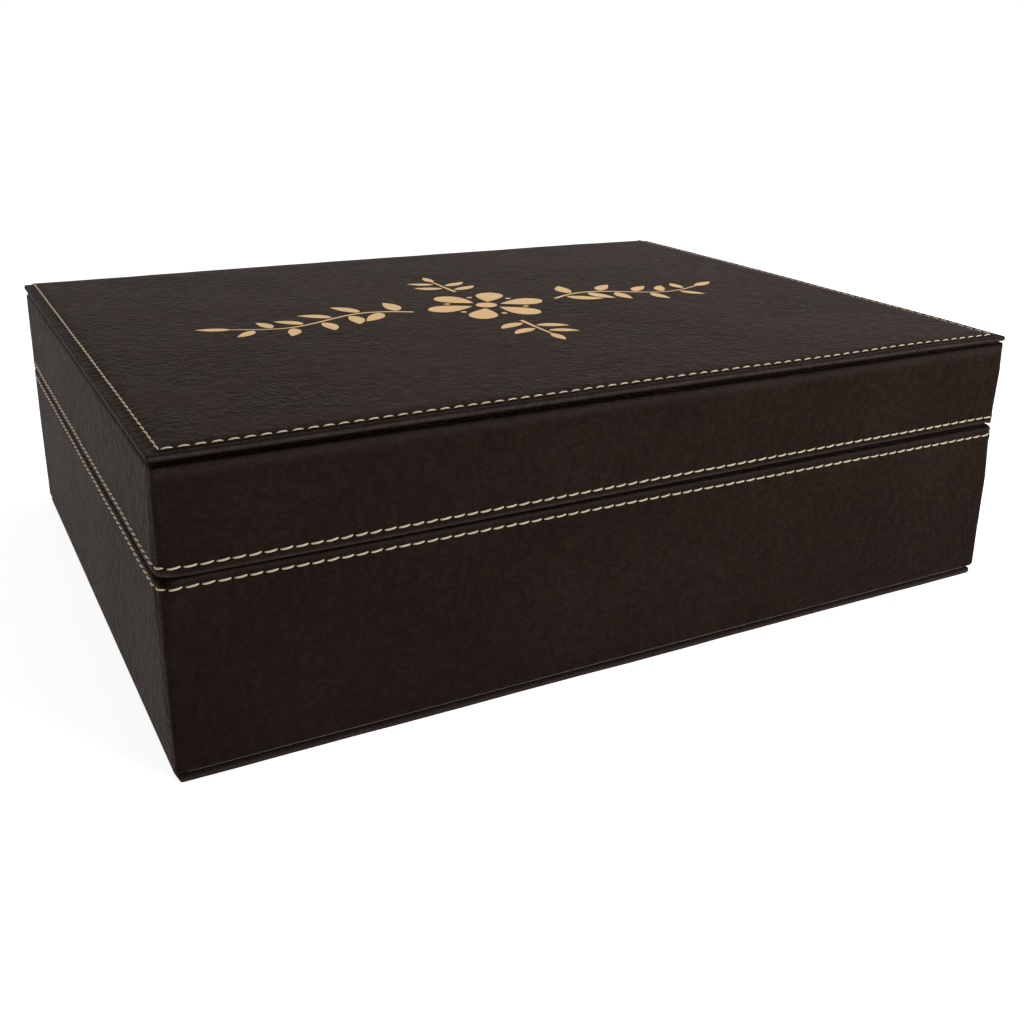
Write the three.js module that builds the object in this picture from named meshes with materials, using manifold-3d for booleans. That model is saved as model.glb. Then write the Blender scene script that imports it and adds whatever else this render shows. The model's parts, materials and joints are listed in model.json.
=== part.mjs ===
import * as THREE from "three";
import { mergeVertices } from "three/addons/utils/BufferGeometryUtils.js";
import Module from "manifold-3d";

const wasm = await Module();
wasm.setup();

// Driving dimensions, in millimetres. X runs along the front, Y from front to back, Z up.
// The origin lies under the middle of the box, on the surface that it stands on.
const boxLength = 320;
const boxDepth = 250;
const boxHeight = 100;
const lidHeight = 36.4; // from the middle of the seam to the top
const partingGap = 0.4;
const leatherette = 1; // thickness of the outer skin
const glueGap = 0.3; // between pieces that are glued face to face
const wallBoard = 5;
const trayBoard = 3; // floor of the base and ceiling of the lid
const panelBoard = 1.2; // thin boards under the top and bottom panels
const cornerRadius = 2.5; // upright corners of the walls, seen from above
const edgeRadius = 0.9; // folds of leatherette along the rims and panel edges
const bottomInset = 0.8; // the bottom panel lies this far inside the walls
const turnIn = 10; // leatherette folded over a rim and down its inner side

// Stitching: the thread lies in a shallow channel that it pulls into the leatherette.
const threadThickness = 0.45;
const threadClearance = 0.1;
const panelRowInset = 4; // row on the top panel, from the panel's edge
const baseRowDrop = 3.5; // row on the base, below the seam
const lidRowRise = 2.9; // row on the lid, above the seam
const rowEndInset = 5; // the wall rows stop this far from the back
const backSheetInset = 2; // the sheet on the back stops this far from the sides
const backRowInset = 4; // rows down the back sheet, from its edges

// Lining
const liningBoard = 1.5;
const liningDrop = 2; // the lining stops this far short of the rim
const padThickness = 3;
const padRadius = 1.2;
const hingeStripThickness = 1;
const hingeStripWidth = 12; // fabric strip on each side of the seam, inside the back

// Magnets that hold the lid shut, in slots in the front wall boards
const magnetLength = 20;
const magnetWidth = 3;
const magnetHeight = 3;
const magnetPlaceShare = 0.28; // of the box length, to each side of the middle

const overrun = 1; // how far a cut runs past the face that it opens
const cornerSegments = 6;
const edgeSegments = 3;

// Heights of the two trays and the panels, bottom to top
const partingHeight = boxHeight - lidHeight;
const panelThickness = leatherette + glueGap + panelBoard;
const base = { bottom: panelThickness + glueGap, top: partingHeight - partingGap / 2 };
const lid = { bottom: partingHeight + partingGap / 2, top: boxHeight - panelThickness - glueGap };

// Plan of the walls. The sheet that makes the hinge covers the back, so the walls stop short of it.
const wallPlan = {
  left: -boxLength / 2,
  right: boxLength / 2,
  front: -boxDepth / 2,
  back: boxDepth / 2 - leatherette - glueGap,
};
const topPlan = { ...wallPlan, back: boxDepth / 2 };
const bottomPlan = {
  left: wallPlan.left + bottomInset,
  right: wallPlan.right - bottomInset,
  front: wallPlan.front + bottomInset,
  back: boxDepth / 2,
};

// Depths into the wall, from its outer face
const boardOuter = leatherette + glueGap;
const boardInner = boardOuter + wallBoard;
const foldOuter = boardInner + glueGap;
const foldInner = foldOuter + leatherette;
const liningOuter = foldInner + glueGap;
const liningInner = liningOuter + liningBoard;
const padOuter = liningInner + glueGap;

const materials = {
  leatherette: new THREE.MeshStandardMaterial({ color: 0x322b27, roughness: 0.6, metalness: 0 }),
  fibreboard: new THREE.MeshStandardMaterial({ color: 0xa98a63, roughness: 0.9, metalness: 0 }),
  greyboard: new THREE.MeshStandardMaterial({ color: 0x8e8a82, roughness: 0.95, metalness: 0 }),
  thread: new THREE.MeshStandardMaterial({ color: 0xe6d3ac, roughness: 0.7, metalness: 0 }),
  lining: new THREE.MeshStandardMaterial({ color: 0x2a211d, roughness: 1, metalness: 0 }),
  magnet: new THREE.MeshStandardMaterial({ color: 0xb9babd, roughness: 0.3, metalness: 1 }),
};

// Plan rectangles
function inset(plan, distance) {
  return {
    left: plan.left + distance,
    right: plan.right - distance,
    front: plan.front + distance,
    back: plan.back - distance,
  };
}

function outline(plan, radius) {
  const corners = [
    [plan.left + radius, plan.front + radius, Math.PI],
    [plan.right - radius, plan.front + radius, -Math.PI / 2],
    [plan.right - radius, plan.back - radius, 0],
    [plan.left + radius, plan.back - radius, Math.PI / 2],
  ];
  if (radius === 0) {
    return new THREE.Shape(corners.map(([x, y]) => new THREE.Vector2(x, y)));
  }
  const shape = new THREE.Shape();
  for (const [x, y, start] of corners) {
    shape.absarc(x, y, radius, start, start + Math.PI / 2);
  }
  return shape;
}

// Solids
function toSolid(geometry) {
  geometry.deleteAttribute("normal");
  geometry.deleteAttribute("uv");
  const merged = mergeVertices(geometry);
  return new wasm.Manifold(
    new wasm.Mesh({
      numProp: 3,
      vertProperties: new Float32Array(merged.attributes.position.array),
      triVerts: new Uint32Array(merged.index.array),
    }),
  );
}

// An upright block with this plan. Its upright corners take radius, its top and bottom edges take edge.
function block(plan, bottom, top, radius = 0, edge = 0) {
  const geometry = new THREE.ExtrudeGeometry(outline(inset(plan, edge), Math.max(radius - edge, 0)), {
    depth: top - bottom - 2 * edge,
    curveSegments: cornerSegments,
    bevelEnabled: edge > 0,
    bevelSize: edge,
    bevelThickness: edge,
    bevelSegments: edgeSegments,
  });
  geometry.translate(0, 0, bottom + edge);
  return toSolid(geometry);
}

// The band between two depths into a plan, all the way round.
function band(plan, outer, inner, bottom, top, radius = 0) {
  const filled = block(inset(plan, outer), bottom, top, Math.max(radius - outer, 0));
  return filled.subtract(
    block(inset(plan, inner), bottom - overrun, top + overrun, Math.max(radius - inner, 0)),
  );
}

// Meshes
function addPiece(group, name, solid, material) {
  const mesh = solid.getMesh();
  const geometry = new THREE.BufferGeometry();
  geometry.setAttribute("position", new THREE.BufferAttribute(mesh.vertProperties, mesh.numProp));
  geometry.setIndex(new THREE.BufferAttribute(mesh.triVerts, 1));
  geometry.computeBoundingBox();
  const centre = geometry.boundingBox.getCenter(new THREE.Vector3());
  geometry.translate(-centre.x, -centre.y, -centre.z);
  geometry.computeVertexNormals();
  const piece = new THREE.Mesh(geometry, material);
  piece.name = name;
  piece.position.copy(centre);
  group.add(piece);
}

// A tray is the four walls of the base or the lid, with its skin, floor or ceiling, and lining.
// rimUp is true for the base, whose rim is on top, and false for the lid.
function rimSpan(tray, rimUp, from, to) {
  return rimUp ? [tray.top - to, tray.top - from] : [tray.bottom + from, tray.bottom + to];
}

function farSpan(tray, rimUp, from, to) {
  return rimUp ? [tray.bottom + from, tray.bottom + to] : [tray.top - to, tray.top - from];
}

function rowSpan(height, halfWidth) {
  return [height - halfWidth, height + halfWidth];
}

// One row of stitching round the front and both sides, at one height.
function wallRow(height, depth, halfWidth, end) {
  const [low, high] = rowSpan(height, halfWidth);
  const ring = band(wallPlan, 0, depth, low, high, cornerRadius);
  return ring.intersect(block({ ...inset(wallPlan, -overrun), back: end }, low - overrun, high + overrun));
}

function wallSkin(tray, rimUp, rowHeight) {
  const outside = block(wallPlan, tray.bottom, tray.top, cornerRadius, edgeRadius);
  const hollow = block(
    inset(wallPlan, leatherette),
    tray.bottom + leatherette,
    tray.top - leatherette,
    cornerRadius - leatherette,
  );
  const mouth = block(inset(wallPlan, foldInner), tray.bottom - overrun, tray.top + overrun);
  const [foldLow, foldHigh] = rimSpan(tray, rimUp, 0, turnIn);
  const fold = band(wallPlan, foldOuter, foldInner, foldLow, foldHigh);
  const channel = wallRow(
    rowHeight,
    threadThickness + threadClearance,
    threadThickness / 2 + threadClearance,
    wallPlan.back - rowEndInset + threadClearance,
  );
  return outside.subtract(hollow).subtract(mouth).add(fold).subtract(channel);
}

function magnetPlan(side, clearance) {
  const middleX = side * magnetPlaceShare * boxLength;
  const middleY = wallPlan.front + boardOuter + wallBoard / 2;
  return {
    left: middleX - magnetLength / 2 - clearance,
    right: middleX + magnetLength / 2 + clearance,
    front: middleY - magnetWidth / 2 - clearance,
    back: middleY + magnetWidth / 2 + clearance,
  };
}

function addWalls(group, name, tray, rimUp) {
  const bottom = tray.bottom + leatherette + glueGap;
  const top = tray.top - leatherette - glueGap;
  const ring = band(wallPlan, boardOuter, boardInner, bottom, top, cornerRadius);
  const low = bottom - overrun;
  const high = top + overrun;
  const frontEnd = wallPlan.front + boardInner;
  const backStart = wallPlan.back - boardInner;
  const between = { ...wallPlan, front: frontEnd + glueGap, back: backStart - glueGap };
  let front = ring.intersect(block({ ...wallPlan, back: frontEnd }, low, high));
  const boards = { bottom, top };
  for (const side of [-1, 1]) {
    const [slotLow, slotHigh] = rimSpan(boards, rimUp, -overrun, magnetHeight + glueGap);
    front = front.subtract(block(magnetPlan(side, glueGap), slotLow, slotHigh));
    const [magnetLow, magnetHigh] = rimSpan(boards, rimUp, 0, magnetHeight);
    const sideName = side < 0 ? "left" : "right";
    addPiece(
      group,
      `${name}_magnet_${sideName}`,
      block(magnetPlan(side, 0), magnetLow, magnetHigh),
      materials.magnet,
    );
  }
  addPiece(group, `${name}_front_wall`, front, materials.fibreboard);
  const back = ring.intersect(block({ ...wallPlan, front: backStart }, low, high));
  addPiece(group, `${name}_back_wall`, back, materials.fibreboard);
  const left = ring.intersect(block({ ...between, right: 0 }, low, high));
  addPiece(group, `${name}_left_wall`, left, materials.fibreboard);
  const right = ring.intersect(block({ ...between, left: 0 }, low, high));
  addPiece(group, `${name}_right_wall`, right, materials.fibreboard);
}

function addLining(group, name, tray, rimUp) {
  const floorFrom = leatherette + glueGap;
  const floorTo = floorFrom + trayBoard;
  const [boardLow, boardHigh] = farSpan(tray, rimUp, floorFrom, floorTo);
  const floorName = rimUp ? "floor" : "ceiling";
  addPiece(
    group,
    `${name}_${floorName}_board`,
    block(inset(wallPlan, boardInner + glueGap), boardLow, boardHigh),
    materials.fibreboard,
  );

  const far = floorTo + glueGap;
  const [padLow, padHigh] = farSpan(tray, rimUp, far, far + padThickness);
  addPiece(
    group,
    `${name}_${floorName}_pad`,
    block(inset(wallPlan, padOuter), padLow, padHigh, padRadius, padRadius),
    materials.lining,
  );

  const height = tray.top - tray.bottom;
  const [low, high] = rimSpan(tray, rimUp, liningDrop, height - far);
  const outer = inset(wallPlan, liningOuter);
  const inner = inset(wallPlan, liningInner);
  addPiece(group, `${name}_front_lining`, block({ ...outer, back: inner.front }, low, high), materials.lining);
  const between = { front: inner.front + glueGap, back: inner.back - glueGap };
  addPiece(
    group,
    `${name}_left_lining`,
    block({ ...outer, ...between, right: inner.left }, low, high),
    materials.lining,
  );
  addPiece(
    group,
    `${name}_right_lining`,
    block({ ...outer, ...between, left: inner.right }, low, high),
    materials.lining,
  );

  // Inside the back, a fabric strip crosses the seam above the lining and stops the lid when it is taut.
  const [backLow, backHigh] = rimSpan(tray, rimUp, hingeStripWidth + glueGap, height - far);
  addPiece(
    group,
    `${name}_back_lining`,
    block({ ...outer, front: inner.back }, backLow, backHigh),
    materials.lining,
  );
  const [stripLow, stripHigh] = rimSpan(tray, rimUp, 0, hingeStripWidth);
  addPiece(
    group,
    `${name}_hinge_strip`,
    block({ ...outer, front: outer.back - hingeStripThickness }, stripLow, stripHigh),
    materials.lining,
  );
}

function addTray(group, name, tray, rimUp, rowHeight) {
  addPiece(group, `${name}_wall_cover`, wallSkin(tray, rimUp, rowHeight), materials.leatherette);
  addPiece(
    group,
    `${name}_rim_thread`,
    wallRow(rowHeight, threadThickness, threadThickness / 2, wallPlan.back - rowEndInset),
    materials.thread,
  );
  addWalls(group, name, tray, rimUp);
  addLining(group, name, tray, rimUp);
}

// The case is one sheet of leatherette that wraps the top panel, runs down the back, bends at the seam
// as the hinge, and wraps the bottom panel. The seam divides it into a lid half and a base half.
const backFace = boxDepth / 2;
const sheetPlan = {
  left: wallPlan.left + backSheetInset,
  right: wallPlan.right - backSheetInset,
  front: backFace - leatherette,
  back: backFace,
};

function backRowPlan(side, halfWidth, depth) {
  const edge = side < 0 ? sheetPlan.left : sheetPlan.right;
  const middle = edge - side * backRowInset;
  return { left: middle - halfWidth, right: middle + halfWidth, front: backFace - depth, back: backFace };
}

function addBackRows(group, name, sheet, low, high) {
  let cut = sheet;
  for (const side of [-1, 1]) {
    const sideName = side < 0 ? "left" : "right";
    const halfWidth = threadThickness / 2;
    const thread = block(backRowPlan(side, halfWidth, threadThickness), low, high);
    addPiece(group, `${name}_back_thread_${sideName}`, thread, materials.thread);
    const wide = backRowPlan(side, halfWidth + threadClearance, threadThickness + threadClearance);
    const channel = block({ ...wide, back: wide.back + overrun }, low - threadClearance, high + threadClearance);
    cut = cut.subtract(channel);
  }
  return cut;
}

// The row on the top panel: along both sides and the front, open at the back.
function panelRow(halfWidth, depth, end) {
  const high = boxHeight;
  const low = boxHeight - depth;
  const outer = inset(topPlan, panelRowInset - halfWidth);
  const inner = inset(topPlan, panelRowInset + halfWidth);
  const square = block({ ...outer, back: end }, low, high);
  return square.subtract(block({ ...inner, back: end + overrun }, low - overrun, high + overrun));
}

function addTopPanel(group) {
  const low = boxHeight - panelThickness;
  const wrapped = block(topPlan, low, boxHeight, 0, edgeRadius);
  const nest = block(inset(topPlan, leatherette), low - overrun, boxHeight - leatherette);
  const sheet = block(sheetPlan, lid.bottom, boxHeight - edgeRadius);
  const rowEnd = backFace - leatherette - edgeRadius;
  const channel = panelRow(
    threadThickness / 2 + threadClearance,
    threadThickness + threadClearance,
    rowEnd + threadClearance,
  );
  const cover = wrapped.subtract(nest).add(sheet).subtract(channel);
  const threadLow = lid.bottom + edgeRadius;
  const threadHigh = boxHeight - leatherette - edgeRadius;
  const cut = addBackRows(group, "lid", cover, threadLow, threadHigh);
  addPiece(group, "lid_case_cover", cut, materials.leatherette);
  addPiece(group, "lid_top_thread", panelRow(threadThickness / 2, threadThickness, rowEnd), materials.thread);
  const board = block(inset(topPlan, leatherette + glueGap), low, boxHeight - leatherette - glueGap);
  addPiece(group, "lid_top_board", board, materials.greyboard);
}

function addBottomPanel(group) {
  const wrapped = block(bottomPlan, 0, panelThickness, cornerRadius, edgeRadius);
  const nest = block(
    inset(bottomPlan, leatherette),
    leatherette,
    panelThickness + overrun,
    cornerRadius - leatherette,
  );
  const sheet = block(sheetPlan, edgeRadius, base.top);
  const cover = wrapped.add(sheet).subtract(nest);
  const cut = addBackRows(group, "base", cover, leatherette + edgeRadius, base.top - edgeRadius);
  addPiece(group, "base_case_cover", cut, materials.leatherette);
  const board = block(
    inset(bottomPlan, leatherette + glueGap),
    leatherette + glueGap,
    panelThickness,
    cornerRadius,
  );
  addPiece(group, "base_bottom_board", board, materials.greyboard);
}

const giftBox = new THREE.Group();

const baseGroup = new THREE.Group();
addBottomPanel(baseGroup);
addTray(baseGroup, "base", base, true, partingHeight - baseRowDrop);
giftBox.add(baseGroup);

const lidGroup = new THREE.Group();
addTopPanel(lidGroup);
addTray(lidGroup, "lid", lid, false, partingHeight + lidRowRise);
giftBox.add(lidGroup);

export default giftBox;
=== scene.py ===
import json
import math

import bmesh
import bpy
import numpy as np
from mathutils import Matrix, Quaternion, Vector


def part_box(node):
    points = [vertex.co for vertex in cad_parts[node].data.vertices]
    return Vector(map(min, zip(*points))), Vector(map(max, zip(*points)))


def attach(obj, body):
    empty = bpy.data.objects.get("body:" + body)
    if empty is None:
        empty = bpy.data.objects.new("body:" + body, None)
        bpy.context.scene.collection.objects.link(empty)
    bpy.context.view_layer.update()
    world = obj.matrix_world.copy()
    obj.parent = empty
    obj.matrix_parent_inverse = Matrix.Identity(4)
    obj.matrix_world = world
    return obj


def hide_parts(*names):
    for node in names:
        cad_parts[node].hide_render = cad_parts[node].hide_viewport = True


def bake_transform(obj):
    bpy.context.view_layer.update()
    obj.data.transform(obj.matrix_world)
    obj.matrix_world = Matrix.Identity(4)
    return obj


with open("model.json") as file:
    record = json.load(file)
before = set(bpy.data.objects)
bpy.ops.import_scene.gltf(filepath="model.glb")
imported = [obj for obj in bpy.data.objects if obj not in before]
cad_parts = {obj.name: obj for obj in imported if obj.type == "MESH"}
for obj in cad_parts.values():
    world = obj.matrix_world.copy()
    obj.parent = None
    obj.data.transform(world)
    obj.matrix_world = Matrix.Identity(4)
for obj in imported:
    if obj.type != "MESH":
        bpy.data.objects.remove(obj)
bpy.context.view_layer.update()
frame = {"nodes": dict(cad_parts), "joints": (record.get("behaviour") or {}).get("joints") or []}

MM = 0.001

# Wall boards, floor and ceiling
# Eight upright boards and two level ones, sawn from medium-density fibreboard and glued up
# into two trays. The covering and the lining hide them.


def linear(colour):
    """The linear colour that sockets take, from an sRGB colour written as #rrggbb."""
    channels = [int(colour[i:i + 2], 16) / 255 for i in (1, 3, 5)]
    return [c / 12.92 if c <= 0.04045 else ((c + 0.055) / 1.055) ** 2.4 for c in channels] + [1]


def add(material, kind, inputs=None, **settings):
    """Adds a node with its settings. Each named input gets a value, or a link from a socket or from
    the first output that another node has in use."""
    made = material.node_tree.nodes.new("ShaderNode" + kind)
    for name, value in settings.items():
        setattr(made, name, value)
    for name, value in (inputs or {}).items():
        if isinstance(value, bpy.types.Node):
            value = next(output for output in value.outputs if output.enabled)
        if isinstance(value, bpy.types.NodeSocket):
            material.node_tree.links.new(value, made.inputs[name])
        else:
            made.inputs[name].default_value = value
    return made


def new_material(name):
    """An empty node material."""
    material = bpy.data.materials.new(name)
    material.use_nodes = True
    material.node_tree.nodes.clear()
    return material


# Fibreboard: pressed wood fibres, sawn. It looks matt and even, with short darker fibres.
fibreboard = new_material("sawn_fibreboard")
fibre_length = 2.5 * MM
fibre_width = 0.4 * MM  # coarser than real fibres, which are too thin to be seen
board_place = add(fibreboard, "TexCoord").outputs["Object"]
fibre_lie = add(fibreboard, "Mapping", {
    "Vector": board_place,
    "Scale": (1 / fibre_length, 1 / fibre_width, 1 / fibre_width),
})
fibres = add(fibreboard, "TexNoise", {
    "Vector": fibre_lie, "Scale": 1, "Detail": 4, "Roughness": 0.65,
})
fibre_colour = add(fibreboard, "Mix", {
    "Factor": fibres, 6: linear("#8a6a45"), 7: linear("#b89a70"),
}, data_type="RGBA")
fibre_relief = add(fibreboard, "Bump", {
    "Height": fibres, "Strength": 0.5, "Distance": 0.05 * MM,
})
fibre_surface = add(fibreboard, "BsdfPrincipled", {
    "Base Color": fibre_colour, "Roughness": 0.85, "Normal": fibre_relief,
})
add(fibreboard, "OutputMaterial", {"Surface": fibre_surface})


def finish(pieces, material):
    """Gives hidden pieces of the box their real finish."""
    for name in pieces:
        materials = frame["nodes"][name].data.materials
        materials.clear()
        materials.append(material)


trays = ("base", "lid")
wall_sides = ("front", "back", "left", "right")
finish([f"{tray}_{side}_wall" for tray in trays for side in wall_sides], fibreboard)
finish(["base_floor_board", "lid_ceiling_board"], fibreboard)

# Panel boards
# Two sheets of greyboard, die-cut from recycled paper pulp. They stiffen the top panel and the
# bottom panel, inside the leatherette that wraps them.

# Greyboard: pressed paper pulp. It looks matt, grey and flecked.
greyboard = new_material("pressed_greyboard")
fleck_size = 0.8 * MM
pulp_place = add(greyboard, "TexCoord").outputs["Object"]
flecks = add(greyboard, "TexNoise", {
    "Vector": pulp_place, "Scale": 1 / fleck_size, "Detail": 3, "Roughness": 0.7,
})
pulp_colour = add(greyboard, "Mix", {
    "Factor": flecks, 6: linear("#77736b"), 7: linear("#a39f96"),
}, data_type="RGBA")
pulp_relief = add(greyboard, "Bump", {
    "Height": flecks, "Strength": 0.4, "Distance": 0.04 * MM,
})
pulp_surface = add(greyboard, "BsdfPrincipled", {
    "Base Color": pulp_colour, "Roughness": 0.95, "Normal": pulp_relief,
})
add(greyboard, "OutputMaterial", {"Surface": pulp_surface})

finish(["base_bottom_board", "lid_top_board"], greyboard)

# Magnets
# Four neodymium bars, nickel plated, pressed into slots in the front boards. They hold the lid
# shut through the leatherette.

# Nickel plate: bright, slightly warm metal with fine tumbling marks.
nickel = new_material("nickel_plate")
mark_size = 0.3 * MM
magnet_place = add(nickel, "TexCoord").outputs["Object"]
tumbling = add(nickel, "TexNoise", {
    "Vector": magnet_place, "Scale": 1 / mark_size, "Detail": 2,
})
plate_roughness = add(nickel, "MapRange", {
    "Value": tumbling, "To Min": 0.18, "To Max": 0.34,
})
plate_surface = add(nickel, "BsdfPrincipled", {
    "Base Color": linear("#c9c5bd"), "Metallic": 1, "Roughness": plate_roughness,
})
add(nickel, "OutputMaterial", {"Surface": plate_surface})

finish([f"{tray}_magnet_{side}" for tray in trays for side in ("left", "right")], nickel)

# Base wall cover
# A strip of leatherette glued round the four walls of the base. It is turned in under the
# boards and over the rim, and a row of stitches runs 3 mm below the seam.

seam = frame["joints"][0]["pos_m"][2]
stitch_length = 4.44 * MM
# Where the columns of vertices lie between two needle holes, close together at the holes.
column_shares = np.array([0, 0.05, 0.11, 0.2, 0.34, 0.5, 0.66, 0.8, 0.89, 0.95])
plain_spacing = 4.4 * MM
needle_hole_radius = 0.36 * MM
needle_hole_depth = 0.34 * MM
row_valley_depth = 0.1 * MM
row_valley_width = 0.7 * MM
quilting_height = 0.07 * MM  # the sheet is puffed up under each stitch
quilting_width = 1.3 * MM
pucker_height = 0.05 * MM  # and gathered on both sides of the row
pucker_distance = 1.8 * MM
unsewn_fade = 2 * MM


def ripples(points, wavelength, seed, waves=20):
    """A smooth random height of about -1 to 1 at each point, with bumps of this wavelength."""
    random = np.random.default_rng(seed)
    directions = random.normal(size=(waves, 3))
    directions /= np.linalg.norm(directions, axis=1)[:, None]
    pace = 2 * math.pi / (wavelength * random.uniform(0.75, 1.5, waves))
    height = np.zeros(len(points))
    for direction, speed, start in zip(directions, pace, random.uniform(0, 2 * math.pi, waves)):
        height += np.sin(points @ (direction * speed) + start)
    return height / math.sqrt(waves)


def smooth_step(value, start, end):
    """0 before start, 1 after end, and a smooth rise between them."""
    share = np.clip((value - start) / (end - start), 0, 1)
    return share * share * (3 - 2 * share)


def hill(value, width):
    """A bell-shaped weight that is 1 at 0."""
    return np.exp(-((value / width) ** 2))


def sewn_relief(along, across, holes):
    """How far stitches move the leatherette, from the place along a row and the distance to it."""
    last = len(holes) - 1
    index = np.clip(np.searchsorted(holes, along) - 1, 0, last - 1)
    before, after = along - holes[index], holes[index + 1] - along
    to_hole = np.minimum(np.abs(before), np.abs(after))
    turn = 2 * math.pi * np.clip(before / (holes[index + 1] - holes[index]), 0, 1)
    sewn = smooth_step(along, holes[0] - unsewn_fade, holes[0])
    sewn = sewn - smooth_step(along, holes[-1], holes[-1] + unsewn_fade)
    hole = hill(to_hole, needle_hole_radius) * hill(across, needle_hole_radius)
    quilting = (0.5 - 0.5 * np.cos(turn)) * hill(across, quilting_width)
    puckers = -np.cos(turn) * hill(np.abs(across) - pucker_distance, quilting_width)
    return sewn * (
        quilting_height * quilting + pucker_height * puckers
        - needle_hole_depth * hole - row_valley_depth * hill(across, row_valley_width)
    )


def columns_along(holes, start, end):
    """Places of the vertex columns: close at the needle holes, and wide where none are."""
    gaps = np.diff(holes)
    sewn = (holes[:-1, None] + gaps[:, None] * column_shares).ravel()
    sewn = np.append(sewn, holes[-1])
    clear = 0.1 * MM
    places = [start, *sewn[(sewn > start + clear) & (sewn < end - clear)], end]
    filled = []
    for here, there in zip(places, places[1:]):
        parts = max(1, round((there - here) / plain_spacing))
        filled += [here + (there - here) * part / parts for part in range(parts)]
    return np.array(filled + [end])


def join_rows(faces, lower, upper, ring=None):
    """Adds the faces between two rows. A row is (its columns, its first vertex), and one may skip
    columns of the other. A ring closes after that many columns."""
    sides = []
    for columns, first in (lower, upper):
        columns = [int(c) for c in columns]
        corners = list(range(first, first + len(columns)))
        if ring:
            columns.append(ring)
            corners.append(first)
        sides.append((columns, corners, {c: i for i, c in enumerate(columns)}))
    (low_columns, low, low_at), (_, high, high_at) = sides
    shared = [c for c in low_columns if c in high_at]
    for a, b in zip(shared, shared[1:]):
        faces.append(low[low_at[a]:low_at[b] + 1] + high[high_at[a]:high_at[b] + 1][::-1])


sharp_edge_degrees = 80


def make_piece(name, points, faces, material, body=None, sheet=None, rub=None):
    """A smooth piece with its material. sheet is each vertex's place on the flat leatherette, and the
    last argument is each vertex's painted light: a painted highlight above 0, and painted shade below 0."""
    mesh = bpy.data.meshes.new(name)
    mesh.from_pydata(np.asarray(points, float).tolist(), [], faces)
    shell = bmesh.new()
    shell.from_mesh(mesh)
    bmesh.ops.recalc_face_normals(shell, faces=shell.faces)
    shell.to_mesh(mesh)
    shell.free()
    mesh.polygons.foreach_set("use_smooth", [True] * len(mesh.polygons))
    mesh.set_sharp_from_angle(angle=math.radians(sharp_edge_degrees))
    mesh.materials.append(material)
    if sheet is not None:
        place = mesh.attributes.new("sheet", "FLOAT_VECTOR", "POINT")
        place.data.foreach_set("vector", np.asarray(sheet, np.float32).ravel())
    # Painted light on each vertex: a painted highlight above 0, and painted shade below 0.
    if rub is not None:
        painted_light_layer = mesh.attributes.new("rub", "FLOAT", "POINT")
        painted_light_layer.data.foreach_set("value", np.asarray(rub, np.float32).ravel())
    piece = bpy.data.objects.new(name, mesh)
    bpy.context.scene.collection.objects.link(piece)
    if body:
        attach(piece, body)
    return piece


# Leatherette: polyurethane on cloth, embossed with a fine creased grain. It looks matt and
# dark, with a low broad sheen at flat angles, and a few grains of pale dust.
leatherette = new_material("embossed_polyurethane_leatherette")
# The creases and pebbles are as large as in the photograph, which is coarser than most such grain.
crease_length = 4.4 * MM
crease_width = 3 * MM
pebble_length = 2.4 * MM
pebble_width = 1.3 * MM
pore_size = 0.5 * MM
mottle_size = 40 * MM
crease_wander = 6 * MM  # how far the creases and pebbles stray
wander_length = 7 * MM
emboss_depth = 0.52 * MM
dust_spacing = 9 * MM
sheet_place = add(leatherette, "Attribute", attribute_name="sheet").outputs["Vector"]
wander = add(leatherette, "TexNoise", {
    "Vector": sheet_place, "Scale": 1 / wander_length, "Detail": 2,
})
wander_size = add(leatherette, "VectorMath", {
    0: wander.outputs["Color"], "Scale": crease_wander,
}, operation="SCALE")
bent_place = add(leatherette, "VectorMath", {
    0: sheet_place, 1: wander_size,
}, operation="ADD")
crease_lie = add(leatherette, "Mapping", {
    "Vector": bent_place, "Rotation": (0, 0, math.radians(-20)),
    "Scale": (1 / crease_length, 1 / crease_width, 1),
})
pebble_lie = add(leatherette, "Mapping", {
    "Vector": bent_place, "Rotation": (0, 0, math.radians(25)),
    "Scale": (1 / pebble_width, 1 / pebble_length, 1),
})
creases = add(leatherette, "TexNoise", {
    "Vector": crease_lie, "Scale": 1, "Detail": 1.5, "Roughness": 0.5,
})
pebbles = add(leatherette, "TexVoronoi", {
    "Vector": pebble_lie, "Scale": 1, "Smoothness": 0.3,
}, feature="SMOOTH_F1")
pores = add(leatherette, "TexNoise", {
    "Vector": sheet_place, "Scale": 1 / pore_size, "Detail": 2,
})
mottle = add(leatherette, "TexNoise", {
    "Vector": sheet_place, "Scale": 1 / mottle_size, "Detail": 3, "Roughness": 0.6,
})
grain = add(leatherette, "Math", {
    0: pebbles, 1: -0.8, 2: creases,
}, operation="MULTIPLY_ADD")
# The grain is embossed deeper in some places than in others.
emboss_share = add(leatherette, "MapRange", {
    "Value": mottle, "From Min": 0.36, "From Max": 0.62, "To Min": 0.3, "To Max": 1,
})
grain_relief = add(leatherette, "Bump", {
    "Height": grain, "Strength": emboss_share, "Distance": emboss_depth,
})
pore_relief = add(leatherette, "Bump", {
    "Height": pores, "Strength": 1, "Distance": 0.04 * MM, "Normal": grain_relief,
})
tone = add(leatherette, "MapRange", {
    "Value": mottle, "From Min": 0.3, "From Max": 0.7,
})
hide_colour = add(leatherette, "Mix", {
    "Factor": tone, 6: linear("#2a1f1b"), 7: linear("#231a15"),
}, data_type="RGBA")
# Painted shade in the grain's creases: the colour darkens where the grain is low.
crease_shade = add(leatherette, "MapRange", {
    "Value": grain, "From Min": -0.1, "From Max": 0.4, "To Min": 0.8, "To Max": 1.1,
})
pore_shade = add(leatherette, "MapRange", {
    "Value": pores, "From Min": 0.35, "From Max": 0.65, "To Min": 0.82, "To Max": 1.22,
})
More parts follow.
